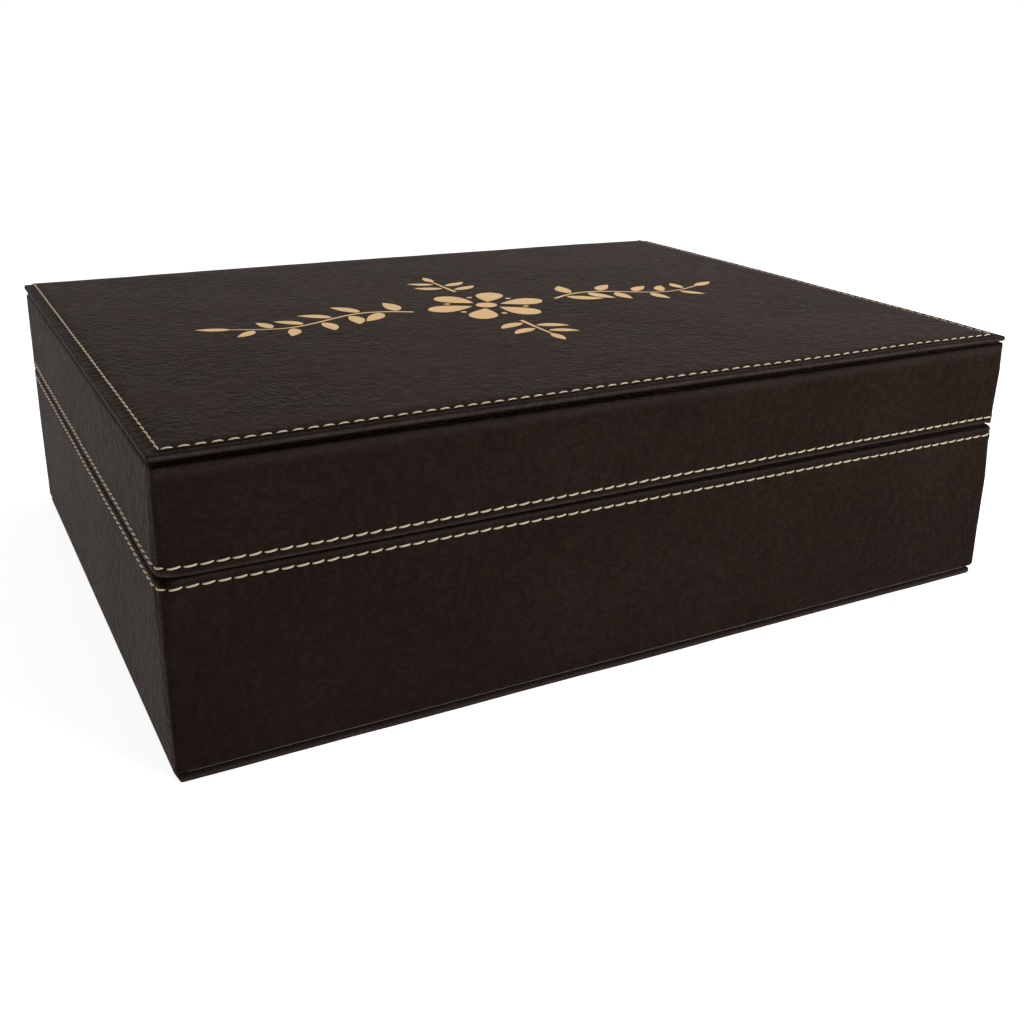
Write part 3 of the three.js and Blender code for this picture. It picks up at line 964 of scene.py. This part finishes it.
side_coarse = np.array(side_coarse + [True])
front_coarse = np.arange(len(front_columns)) % len(column_shares) == 0

ring_side = np.concatenate([
    np.full(len(front_columns) - 1, 0), np.full(len(side_columns) - 1, 1),
    np.full(len(front_columns) - 1, 2), np.full(len(side_columns) - 1, 3)])
ring_place = np.concatenate([
    front_columns[:-1], side_columns[:-1], front_columns[::-1][:-1], side_columns[::-1][:-1]])
ring_coarse = np.concatenate([
    front_coarse[:-1], side_coarse[:-1], front_coarse[::-1][:-1], side_coarse[::-1][:-1]])
ring_count = len(ring_side)


def drawn_in(across, along, inset):
    """Moves places on the row of stitches to the line at this inset, so that columns meet at the mitres."""
    deeper, reach, last = inset - panel_row_inset, np.abs(across), sheet_end - panel_row_inset
    across = np.sign(across) * (reach - deeper * smooth_step(reach, front_half - mitre_fade, front_half))
    moved = along + deeper * (1 - smooth_step(along, panel_row_inset, panel_row_inset + mitre_fade))
    return across, moved - deeper * smooth_step(along, last - mitre_fade, last)


def case_ring(columns, inset):
    """Where these columns cross the line that runs this far inside the sheet's edge."""
    side, place = ring_side[columns], ring_place[columns]
    inset = inset + 0 * place
    on_front = (side == 0) | (side == 2)
    across, along = drawn_in(place, place, inset)
    v = np.where(on_front, np.where(side == 0, inset, sheet_end - inset), along)
    half = case_half_width(v)
    on_right = np.where(side == 1, 1, -1)
    x = np.where(on_front, across * (half - inset) / (top_high.x - inset), on_right * (half - inset))
    sharpness = np.where(v < sheet_end / 2, mitre_radius, bottom_mitre_radius)
    radius = np.maximum(sharpness - inset, least_mitre_radius)
    end_gap = np.minimum(v, sheet_end - v) - inset
    side_gap = half - inset - np.abs(x)
    away = np.where(on_front, side_gap, end_gap)
    turn = math.pi / 4 * np.clip(1 - away / radius, 0, 1)
    rounded = away < radius
    end_gap = np.where(rounded, radius - radius * np.where(on_front, np.cos(turn), np.sin(turn)), end_gap)
    side_gap = np.where(rounded, radius - radius * np.where(on_front, np.sin(turn), np.cos(turn)), side_gap)
    v = np.where(v < sheet_end / 2, inset + end_gap, sheet_end - inset - end_gap)
    x = np.sign(x) * (half - inset - side_gap)
    return x, v


edge_inset = 2 * MM
least_edge_share = 0.55  # the edge's rounding is as small as this where the sheet is thin
bead_inset, bead_middle, bead_share = 0.7 * MM, 0.46, 0.22
flange_shade_start = 0.2 * MM, 0.8 * MM
# The panel's edge bead gets a painted highlight, the bottom panel's edge a slight one, and the flange before
# the top panel's front stitches painted shade.
bead_highlight, front_flange_shade, side_flange_shade = 1.8, 0.75, 0.15
bottom_highlight, bottom_bead_highlight = 0.15, 1.3


def case_row(columns, inset, depth_share, swell_share, thin=0):
    """Points of one line of the wrapped edge, their places on the flat sheet, and their painted light."""
    x, v = case_ring(columns, inset)
    panel = case_depth(v)
    edge_share = np.clip(panel / panel_depth, least_edge_share, 1) if inset < edge_inset else 1
    x, v = case_ring(columns, inset * edge_share)
    side, place = ring_side[columns], ring_place[columns]
    at_front, at_side = side == 0, side % 2 == 1
    across = inset - panel_row_inset
    swell = np.where(
        at_front, case_swell(x, v, place, across, [front_holes]), np.where(
            at_side, case_swell(x, v, place, across, [lid_side_holes, base_back_holes]),
            case_swell(x, v, place, 1, [])))
    points = case_point(x, v, panel * depth_share - thin - swell * swell_share)
    run = inset if depth_share < 0.5 else -inset - panel
    unrolled_x = x + np.sign(x) * np.where(at_side, inset - run, 0)
    unrolled_v = v + np.where(at_side, 0, np.where(at_front, run - inset, inset - run))
    speckle = 1 + speckle_share * ripples(points, speckle_size, 7)
    bead = hill(inset, bead_inset) * hill(depth_share - bead_middle, bead_share) * speckle
    flange = smooth_step(inset, *flange_shade_start) * (1 - smooth_step(inset, flange_start, flange_end))
    shade = np.where(at_front, front_flange_shade, side_flange_shade) * flange * (depth_share < 0.3)
    # Painted highlight on the edge bead, and painted shade on the flange; none on the back.
    rub = np.where(v > bottom_start, bottom_highlight + bottom_bead_highlight * bead, bead_highlight * bead - shade)
    rub = np.where((v > top_end) & (v < bottom_start), 0, rub)
    return points, np.column_stack([unrolled_x, unrolled_v, 0 * v + case_roll_place]), rub


fine_ring = np.arange(ring_count)
coarse_ring = fine_ring[ring_coarse]
# Each line round the edge has its inset in millimetres, its shares of the panel's depth and of the
# sheet's swell, whether it is fine, and how far the turned-under sheet is pared away.
lower_fold, upper_fold, edge_swell = 0.9, 0.8, 0.3
turned_under = [(1.35, 0.5, 0, False, 0), (1.35, 1, 0, False, 0.1), (7, 1, 0, False, 0.1)]
case_lines = turned_under + [(inset, 1, 0, False, 0) for inset in (7, 4, 2)]
for step in (1, 0.75, 0.5, 0.25, 0):
    sine, cosine = quarter(step)
    case_lines.append((lower_fold * (1 - cosine), 0.52 + 0.46 * sine, edge_swell * (1 - step), True, 0))
for step in bend_steps:
    sine, cosine = quarter(step)
    swell_share = edge_swell + (1 - edge_swell) * step
    case_lines.append((upper_fold * (1 - cosine), 0.5 * (1 - sine), swell_share, True, 0))
top_insets = (0.95, 1.15, 1.35, 1.6, 1.9, 2.2, 2.5, 2.75, 3, 3.25, 3.5, 3.68, 3.86, 4, 4.14, 4.32, 4.55)
case_lines += [(inset, 0, 1, True, 0) for inset in (*top_insets, 4.9, 5.4, 6, 6.7, 7.4)]
case_lines.append((smooth_from / MM, 0, 1, False, 0))
points, sheet, rub, faces, made = [], [], [], [], []
first = 0
for inset, depth_share, swell_share, fine, thin in case_lines:
    columns = fine_ring if fine else coarse_ring
    row_points, row_sheet, row_painted_light = case_row(columns, inset * MM, depth_share, swell_share, thin * MM)
    points.append(row_points)
    sheet.append(row_sheet)
    rub.append(row_painted_light)
    made.append((columns, first))
    first += len(columns)
for lower, upper in zip(made, made[1:]):
    join_rows(faces, lower, upper, ring_count)


def case_middle(edge, depth_share, swell_share):
    """The plain middle of the sheet as a grid of rows that meets the ring of edge vertices."""
    across = front_columns[front_coarse]
    down = side_columns[side_coarse]
    corner = {int(column): edge[1] + number for number, column in enumerate(edge[0])}
    ring_at = {}
    front_at = np.flatnonzero(front_coarse)
    side_at = np.flatnonzero(side_coarse)
    front_last, side_last = len(front_columns) - 1, len(side_columns) - 1
    for i, a in enumerate(front_at):
        ring_at[(0, i)] = corner[int(a)]
        ring_at[(len(down) - 1, i)] = corner[int(front_last + side_last + front_last - a) % ring_count]
    for j, d in enumerate(side_at):
        ring_at[(j, len(across) - 1)] = corner[int(front_last + d) % ring_count]
        ring_at[(j, 0)] = corner[int(2 * front_last + 2 * side_last - d) % ring_count]
    first = sum(len(p) for p in points)
    inner = []
    for j in range(1, len(down) - 1):
        for i in range(1, len(across) - 1):
            ring_at[(j, i)] = first + len(inner)
            inner.append((across[i], down[j]))
    x, v = drawn_in(*np.array(inner).T, smooth_from)
    x = x * (case_half_width(v) - smooth_from) / (top_high.x - smooth_from)
    swell = case_swell(x, v, x, 1 + 0 * x, [])
    points.append(case_point(x, v, case_depth(v) * depth_share - swell * swell_share))
    sheet.append(np.column_stack([x, v, 0 * v + case_roll_place]))
    rub.append(0 * v)
    for j in range(len(down) - 1):
        for i in range(len(across) - 1):
            around = ((j, i), (j, i + 1), (j + 1, i + 1), (j + 1, i))
            faces.append([ring_at[place] for place in around])


case_middle(made[-1], 0, 1)
case_middle(made[0], 0.5, 0)
case_piece = make_piece(
    "case_cover", np.vstack(points), faces, leatherette, None, np.vstack(sheet), np.concatenate(rub))
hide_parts("lid_case_cover", "base_case_cover")
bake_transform(case_piece)

# Rows of stitching on the case
# The same thread. One row runs round the top panel's front and sides and on down the back to
# the fold, and one runs down each side of the back of the base.


def case_row_along(x, v):
    """Points and normals of the unsewn sheet."""
    swell = case_swell(x, v, x, 0 * x, [])
    place = case_point(x, v, -swell)
    normal = case_point(x, v, -swell - 1 * MM) - place
    return place, normal / np.linalg.norm(normal, axis=1)[:, None]


side_run = lid_side_holes[-1] - panel_row_inset
front_run = 2 * front_half
case_thread_rise = 0.3


def along_lid_case(arc):
    """The row's path: up the left of the back, over the top, and down the right of the back."""
    v = np.interp(arc, [0, side_run, side_run + front_run, 2 * side_run + front_run],
                  [lid_side_holes[-1], panel_row_inset, panel_row_inset, lid_side_holes[-1]])
    x = np.clip(arc - side_run - front_half, -front_half, front_half)
    reach = case_half_width(v) - panel_row_inset
    x = np.where(v > panel_row_inset, np.sign(x) * reach, x)
    return case_row_along(x, v)


lid_case_holes = np.concatenate([
    side_run + panel_row_inset - lid_side_holes[::-1],
    side_run + front_half + front_holes[1:-1],
    side_run + front_run - panel_row_inset + lid_side_holes])
sew("lid_case_stitches", "lid", lid_case_holes, along_lid_case, case_thread_rise,
    "lid_top_thread", "lid_back_thread_left", "lid_back_thread_right")
for side_name, sign in (("left", -1), ("right", 1)):
    def along_base_back(v):
        return case_row_along(sign * (case_half_width(v) - panel_row_inset), v)

    sew(f"base_back_stitches_{side_name}", "base", base_back_holes, along_base_back, case_thread_rise,
        f"base_back_thread_{side_name}")

# Gilt ornament
# A six-petal flower with four leafy branches, stamped into the middle of the lid with gold foil
# and a heated die. The design is a plain traditional one.

foil_rise = 0.05 * MM
foil_sink = 0.06 * MM
speck_size = 0.5 * MM
foil_cloud_size = 12 * MM

# Gold foil: a thin matt metal film. It shows the leatherette's grain, and is speckled with
# darker points where the film is thin.
gilt = new_material("matt_gold_foil")
foil_place = add(gilt, "Attribute", attribute_name="sheet").outputs["Vector"]
foil_specks = add(gilt, "TexNoise", {
    "Vector": foil_place, "Scale": 1 / speck_size, "Detail": 3, "Roughness": 0.6,
})
foil_clouds = add(gilt, "TexNoise", {
    "Vector": foil_place, "Scale": 1 / foil_cloud_size, "Detail": 2,
})
foil_tone = add(gilt, "Mix", {
    "Factor": foil_clouds, 6: linear("#c39a5c"), 7: linear("#dcb67a"),
}, data_type="RGBA")
foil_thin = add(gilt, "MapRange", {
    "Value": foil_specks, "From Min": 0.34, "From Max": 0.5, "To Min": 0.62, "To Max": 1,
})
foil_colour = add(gilt, "Mix", {
    "Factor": 1, 6: foil_tone, 7: foil_thin,
}, data_type="RGBA", blend_type="MULTIPLY")
foil_relief = add(gilt, "Bump", {
    "Height": foil_specks, "Strength": 0.8, "Distance": 0.06 * MM,
})
foil_surface = add(gilt, "BsdfPrincipled", {
    "Base Color": foil_colour, "Metallic": 1, "Roughness": 0.46,
    "Normal": foil_relief,
})
add(gilt, "OutputMaterial", {"Surface": foil_surface})

ornament_points, ornament_sheet, ornament_faces = [], [], []


def grid_rim(rows, columns):
    """The numbers of the vertices round the edge of a grid, in order."""
    rim = list(range(columns)) + [row * columns + columns - 1 for row in range(1, rows)]
    rim += [(rows - 1) * columns + column for column in range(columns - 2, -1, -1)]
    return rim + [row * columns for row in range(rows - 2, 0, -1)]


def stamp(path, widths):
    """Adds a strip of foil along a path on the lid, with half its width at each point of the path."""
    path = np.asarray(path, float)
    forward = np.gradient(path, axis=0)
    forward /= np.linalg.norm(forward, axis=1)[:, None]
    sideways = np.column_stack([-forward[:, 1], forward[:, 0]])
    across = np.array([-1, -0.5, 0, 0.5, 1])
    reach = (np.asarray(widths)[:, None] * across)[..., None]
    flat = (path[:, None] + sideways[:, None] * reach).reshape(-1, 2)
    x, v = flat[:, 0], flat[:, 1] - top_low.y
    swell = case_swell(x, v, x, 1 + 0 * x, [])
    first = sum(len(p) for p in ornament_points)
    for lift in (foil_rise, -foil_sink):
        ornament_points.append(case_point(x, v, -swell - lift))
        ornament_sheet.append(np.column_stack([x, v, 0 * v + case_roll_place]))
    count, wide = len(path), len(across)
    under = count * wide
    for i in range(count - 1):
        for j in range(wide - 1):
            a = first + i * wide + j
            face = [a, a + 1, a + wide + 1, a + wide]
            ornament_faces.append(face)
            ornament_faces.append([corner + under for corner in face[::-1]])
    rim = grid_rim(count, wide)
    for a, b in zip(rim, rim[1:] + rim[:1]):
        ornament_faces.append([first + a, first + b, first + b + under, first + a + under])


# The sizes of the flower and the branches are in millimetres, and the angles in degrees.
least_half_width = 0.06
leaf_slant, leaf_fullness = 0.85, 0.8
petal_slant, petal_fullness = 1.6, 0.55


def leaf(start, angle, length, width, bend=0.0):
    """A pointed leaf. It starts at a point, in a direction in degrees, and curves by bend degrees."""
    parts = 14
    share = np.linspace(0, 1, parts + 1)
    heading = np.radians(angle + bend * (share - 0.5))
    step = np.column_stack([np.cos(heading), np.sin(heading)]) * length / parts
    path = np.asarray(start) + np.concatenate([[[0, 0]], np.cumsum(step[:-1], axis=0)])
    half_width = width / 2 * np.sin(math.pi * share ** leaf_slant) ** leaf_fullness
    stamp(path * MM, np.maximum(half_width, least_half_width) * MM)


def berry(centre, radius):
    """A round dot."""
    share = np.linspace(-0.99, 0.99, 13)
    path = np.asarray(centre) + np.column_stack([share * radius, 0 * share])
    stamp(path * MM, radius * np.sqrt(1 - share ** 2) * MM)


def petal(start, angle, length, width):
    """A rounded petal, widest near its tip."""
    share = 0.5 - 0.5 * np.cos(np.linspace(0, math.pi, 21))
    out = np.array([math.cos(math.radians(angle)), math.sin(math.radians(angle))])
    path = np.asarray(start) + out * length * share[:, None]
    half_width = width / 2 * np.sin(math.pi * share ** petal_slant) ** petal_fullness
    stamp(path * MM, np.maximum(half_width, least_half_width) * MM)


petal_count = 6
petal_start, petal_length, petal_width = 6.4, 19, 11.5
small_berry_place, small_berry_radius, middle_berry_radius = 16, 1.2, 4.4
for number in range(petal_count):
    turn = 360 / petal_count * number
    out = np.array([math.cos(math.radians(turn)), math.sin(math.radians(turn))])
    petal(out * petal_start, turn, petal_length, petal_width)
    between = math.radians(turn + 180 / petal_count)
    berry((small_berry_place * math.cos(between), small_berry_place * math.sin(between)), small_berry_radius)
berry((0, 0), middle_berry_radius)


stem_half_width, stem_taper, wave_fade = 0.8, 0.35, 0.25
leaf_shrink, leaf_distance, leaf_angle, leaf_bend, leaf_shape = 0.035, 1.6, 64, 34, 0.4
tip_length, tip_width = 0.8, 0.3


def branch(start, heading, length, wave, pairs, size):
    """A leafy branch: a waved stem with leaves on both sides in turn, and a leaf at its tip."""
    parts = 59
    share = np.linspace(0, 1, parts + 1)
    along, across = length * share, wave * np.sin(2 * math.pi * share) * (1 - wave_fade * share)
    turn = np.array([[math.cos(heading), math.sin(heading)], [-math.sin(heading), math.cos(heading)]])
    stem = np.asarray(start) + np.column_stack([along, across]) @ turn
    stamp(stem * MM, (stem_half_width - stem_taper * share) * MM)
    step = np.gradient(stem, axis=0)
    slope = np.degrees(np.arctan2(step[:, 1], step[:, 0]))
    for number in range(2 * pairs):
        side = 1 if number % 2 else -1
        at = int((number + 1) / (2 * pairs + 1) * parts)
        leaf_length = size * (1 - leaf_shrink * number)
        root = math.radians(slope[at] + side * 90)
        place = stem[at] + leaf_distance * np.array([math.cos(root), math.sin(root)])
        leaf(place, slope[at] + side * leaf_angle, leaf_length, leaf_length * leaf_shape, -side * leaf_bend)
    leaf(stem[-1], slope[-1], size * tip_length, size * tip_width)


for x, heading, wave in ((32, 0, 7), (-32, math.pi, -7)):
    branch((x, 0), heading, length=72, wave=wave, pairs=5, size=16)
for y, heading in ((-30, -math.pi / 2), (30, math.pi / 2)):
    branch((0, y), heading, length=24, wave=0, pairs=2, size=13)

make_piece(
    "gilt_ornament", np.vstack(ornament_points), ornament_faces, gilt, "lid", np.vstack(ornament_sheet))

# Lining panels
# Thin boards wrapped in napped suede cloth, glued round the inside of each tray.

# Suede cloth: brushed microfibre. It looks deep brown and soft, paler where the nap turns to
# the light, with cloudy strokes where it was brushed.
suede = new_material("brushed_suede_cloth")
stroke_size = 22 * MM
fibre_tip_size = 0.45 * MM
nap_place = add(suede, "TexCoord").outputs["Object"]
strokes = add(suede, "TexNoise", {
    "Vector": nap_place, "Scale": 1 / stroke_size, "Detail": 3, "Roughness": 0.55,
    "Distortion": 0.6,
})
fibre_tips = add(suede, "TexNoise", {
    "Vector": nap_place, "Scale": 1 / fibre_tip_size, "Detail": 3, "Roughness": 0.7,
})
nap_tone = add(suede, "Math", {
    0: fibre_tips, 1: 0.5, 2: strokes,
}, operation="MULTIPLY_ADD")
nap_share = add(suede, "MapRange", {
    "Value": nap_tone, "From Min": 0.45, "From Max": 1.05,
})
nap_colour = add(suede, "Mix", {
    "Factor": nap_share, 6: linear("#35271f"), 7: linear("#4a382e"),
}, data_type="RGBA")
nap_relief = add(suede, "Bump", {
    "Height": nap_tone, "Strength": 0.8, "Distance": 0.12 * MM,
})
nap_surface = add(suede, "BsdfPrincipled", {
    "Base Color": nap_colour, "Roughness": 0.9, "Specular IOR Level": 0.2,
    "Sheen Weight": 0.35, "Sheen Roughness": 0.45, "Sheen Tint": linear("#c9a98c"),
    "Normal": nap_relief,
})
add(suede, "OutputMaterial", {"Surface": nap_surface})


edge_lines = np.array([0.35, 0.7, 1])


def rounded_panel(name, node, body, edge, spacing, shape):
    """A soft panel in the space of a CAD node: rounded edges, and a shape that moves its points."""
    low, high = (np.array(corner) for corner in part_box(node))
    middle, half = (low + high) / 2, (high - low) / 2
    lines = []
    for reach in half:
        inner = max(reach - edge, 0.01 * MM)
        count = max(1, round(2 * inner / spacing))
        rim = inner + (reach - inner) * edge_lines
        lines.append(np.concatenate([-rim[::-1], np.linspace(-inner, inner, count + 1), rim]))
    index, points, faces = {}, [], []
    for axis in range(3):
        a, b = [other for other in range(3) if other != axis]
        for end in (0, -1):
            for i in range(len(lines[a]) - 1):
                for j in range(len(lines[b]) - 1):
                    face = []
                    for k, m in ((i, j), (i + 1, j), (i + 1, j + 1), (i, j + 1)):
                        point = [0, 0, 0]
                        point[axis], point[a], point[b] = lines[axis][end], lines[a][k], lines[b][m]
                        key = tuple(round(value * 1e7) for value in point)
                        if key not in index:
                            index[key] = len(points)
                            points.append(point)
                        face.append(index[key])
                    faces.append(face)
    points = np.array(points)
    core = np.clip(points, -np.maximum(half - edge, 0), np.maximum(half - edge, 0))
    away = points - core
    length = np.linalg.norm(away, axis=1)[:, None]
    rounded = core + away / np.maximum(length, 1e-9) * np.minimum(edge, half.min())
    points = np.where(length > 0, rounded, points)
    return make_piece(name, shape(points, half) + middle, faces, suede, body)


panel_swell, panel_unevenness, panel_wave = 0.12 * MM, 0.06 * MM, 30 * MM
panel_fullness = 0.3


def lined(points, half):
    """The cloth is drawn round a board: its face swells a little and is uneven."""
    thin = int(np.argmin(half))
    across = [points[:, axis] / half[axis] for axis in range(3) if axis != thin]
    share = np.prod([np.clip(1 - part ** 2, 0, 1) ** panel_fullness for part in across], axis=0)
    swell = share * (panel_swell + panel_unevenness * ripples(points, panel_wave, 11))
    moved = points.copy()
    moved[:, thin] += np.sign(points[:, thin]) * swell
    return moved


for tray in trays:
    for side_name in wall_sides:
        node = f"{tray}_{side_name}_lining"
        panel = rounded_panel(f"{tray}_{side_name}_suede_panel", node, tray, 0.6 * MM, 7 * MM, lined)
        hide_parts(node)

# Floor pad and ceiling pad
# Sheets of thin foam wrapped in the same suede cloth, laid in the floor and glued to the
# ceiling. They are crowned, and their sides pull in between the corners.


pad_crown, pad_fullness = 0.35 * MM, 0.35
pad_wave_height, pad_wave_length = 0.1 * MM, 24 * MM
pad_edge_height, pad_edge_length = 0.1 * MM, 9 * MM
side_pull, pull_sharpness, edge_sharpness = 0.9 * MM, 6, 20


def padded(points, half):
    """Foam under drawn cloth: crowned faces, pulled-in sides, and soft waves along the edges."""
    flat = points * [1, 1, 0]
    across = [points[:, axis] / half[axis] for axis in (0, 1)]
    share = np.prod([np.clip(1 - part * part, 0, 1) ** pad_fullness for part in across], axis=0)
    moved = points.copy()
    thick = np.sign(points[:, 2]) * np.clip(np.abs(points[:, 2]) / half[2], 0, 1)
    moved[:, 2] += thick * (pad_crown * share + pad_wave_height * share * ripples(flat, pad_wave_length, 12))
    edge_waves = pad_edge_height * ripples(flat, pad_edge_length, 13)
    for a, b in ((0, 1), (1, 0)):
        pull = side_pull * (1 - across[b] ** 2) * np.abs(across[a]) ** pull_sharpness
        waves = edge_waves * np.abs(across[a]) ** edge_sharpness
        moved[:, a] -= np.sign(points[:, a]) * (pull + waves)
    return moved


for tray, node in (("base", "base_floor_pad"), ("lid", "lid_ceiling_pad")):
    pad = rounded_panel(node.replace("_pad", "_suede_pad"), node, tray, 1.5 * MM, 4 * MM, padded)
    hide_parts(node)

# Fabric strip
# A strip of the same suede cloth, glued to the back of the base and of the lid inside, across
# the seam. It stops the lid when it is taut.

strip_low, strip_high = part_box("base_hinge_strip")[0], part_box("lid_hinge_strip")[1]
strip_skin = 0.6 * MM
strip_wave_height, strip_wave_length = 0.08 * MM, 16 * MM
strip_face = strip_high.y - 0.1 * MM - strip_skin / 2
across = np.linspace(strip_low.x, strip_high.x, 77)
upward = np.linspace(strip_low.z, strip_high.z, 41)
grid_x, grid_z = (g.ravel() for g in np.meshgrid(across, upward))
flat = np.column_stack([grid_x, grid_z * 1.5, 0 * grid_x])
waves = strip_wave_height * ripples(flat, strip_wave_length, 14)
strip_points, strip_faces = [], []
rows, columns = len(upward), len(across)
for side in (-1, 1):
    strip_points.append(np.column_stack([grid_x, strip_face + waves + side * strip_skin / 2, grid_z]))
    start = 0 if side < 0 else rows * columns
    for j in range(rows - 1):
        for i in range(columns - 1):
            a = start + j * columns + i
            strip_faces.append([a, a + 1, a + columns + 1, a + columns])
rim = grid_rim(rows, columns)
for a, b in zip(rim, rim[1:] + rim[:1]):
    strip_faces.append([a, b, b + rows * columns, a + rows * columns])
strip = make_piece("fabric_hinge_strip", np.vstack(strip_points), strip_faces, suede)
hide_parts("base_hinge_strip", "lid_hinge_strip")
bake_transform(strip)

# Studio
# A plain pale floor, three soft lamps and the camera at the photograph's viewing angle.

# Painted backdrop board: matt and white, and it keeps the box's soft shadow.
floor_paint = new_material("white_backdrop_paint")
floor_glow = 0.83
brush_size = 1 / 6


def seen_directly(tree):
    """1 where the camera sees it, straight or in a reflection or through glass, and 0 for its light."""
    path = add(tree, "LightPath")
    plain = add(tree, "Math", {
        0: path.outputs["Is Camera Ray"], 1: path.outputs["Is Glossy Ray"],
    }, operation="MAXIMUM")
    return add(tree, "Math", {
        0: plain, 1: path.outputs["Is Transmission Ray"],
    }, operation="MAXIMUM")


floor_seen = seen_directly(floor_paint)
brush_place = add(floor_paint, "TexCoord").outputs["Object"]
brushed = add(floor_paint, "TexNoise", {
    "Vector": brush_place, "Scale": 1 / brush_size, "Detail": 2,
})
paint_colour = add(floor_paint, "Mix", {
    "Factor": brushed, 6: linear("#f1f1f0"), 7: linear("#f5f5f4"),
}, data_type="RGBA")
paint = add(floor_paint, "BsdfDiffuse", {"Color": paint_colour})
glow_strength = add(floor_paint, "Math", {0: floor_seen, 1: floor_glow}, operation="MULTIPLY")
glow = add(floor_paint, "Emission", {"Color": (1, 1, 1, 1), "Strength": glow_strength})
floor_mix = add(floor_paint, "AddShader", {0: paint, 1: glow})
add(floor_paint, "OutputMaterial", {"Surface": floor_mix})
floor_size = 6.0
floor = make_piece("floor", [
    (x * floor_size, y * floor_size, 0) for x, y in ((-1, -1), (1, -1), (1, 1), (-1, 1))
], [[0, 1, 2, 3]], floor_paint)

world = bpy.data.worlds.new("white_studio")
bpy.context.scene.world = world
world.use_nodes = True
world.node_tree.nodes.clear()
ambient_strength = 0.2
sky_strength = add(world, "MapRange", {
    "Value": seen_directly(world), "To Min": ambient_strength, "To Max": 1,
})
sky = add(world, "Background", {"Color": (1, 1, 1, 1), "Strength": sky_strength})
add(world, "OutputWorld", {"Surface": sky})


def add_lamp(name, place, aim, size, power, colour=(1, 1, 1)):
    """A square softbox that hangs at place and points at aim."""
    data = bpy.data.lights.new(name, "AREA")
    data.color = colour
    data.shape = "SQUARE"
    data.size = size
    data.energy = power
    lamp = bpy.data.objects.new(name, data)
    bpy.context.scene.collection.objects.link(lamp)
    lamp.location = place
    lamp.rotation_mode = "QUATERNION"
    lamp.rotation_quaternion = (Vector(aim) - Vector(place)).to_track_quat("-Z", "Y")


add_lamp("overhead_softbox", (0.5, 0.05, 0.8), (0, 0, 0.1), 0.4, 2.6)
add_lamp("front_softbox", (0.14, -0.55, 0.19), (0.02, -0.12, 0.06), 0.25, 1.34)
add_lamp("left_softbox", (-0.8, 0.14, 0.085), (-0.16, 0, 0.05), 0.15, 0.9, (1, 0.94, 0.84))

camera_azimuth = math.radians(-29.53)
camera_elevation = math.radians(18.94)
camera_roll = math.radians(1.15)
camera_distance = 0.5203
camera_target = Vector((0.03, 0, 0.0338))
camera_data = bpy.data.cameras.new("camera")
camera_data.sensor_width = 36
camera_data.lens = 41.97
camera_data.shift_x = -0.035
camera_data.shift_y = -0.060
camera_data.clip_start = 0.02
camera = bpy.data.objects.new("camera", camera_data)
bpy.context.scene.collection.objects.link(camera)
camera_back = Vector((
    math.sin(camera_azimuth) * math.cos(camera_elevation),
    -math.cos(camera_azimuth) * math.cos(camera_elevation),
    math.sin(camera_elevation),
))
camera.location = camera_target + camera_back * camera_distance
camera.rotation_mode = "QUATERNION"
camera.rotation_quaternion = (-camera_back).to_track_quat("-Z", "Y") @ Quaternion((0, 0, 1), camera_roll)
bpy.context.scene.camera = camera

bpy.context.scene.view_settings.view_transform = "Standard"
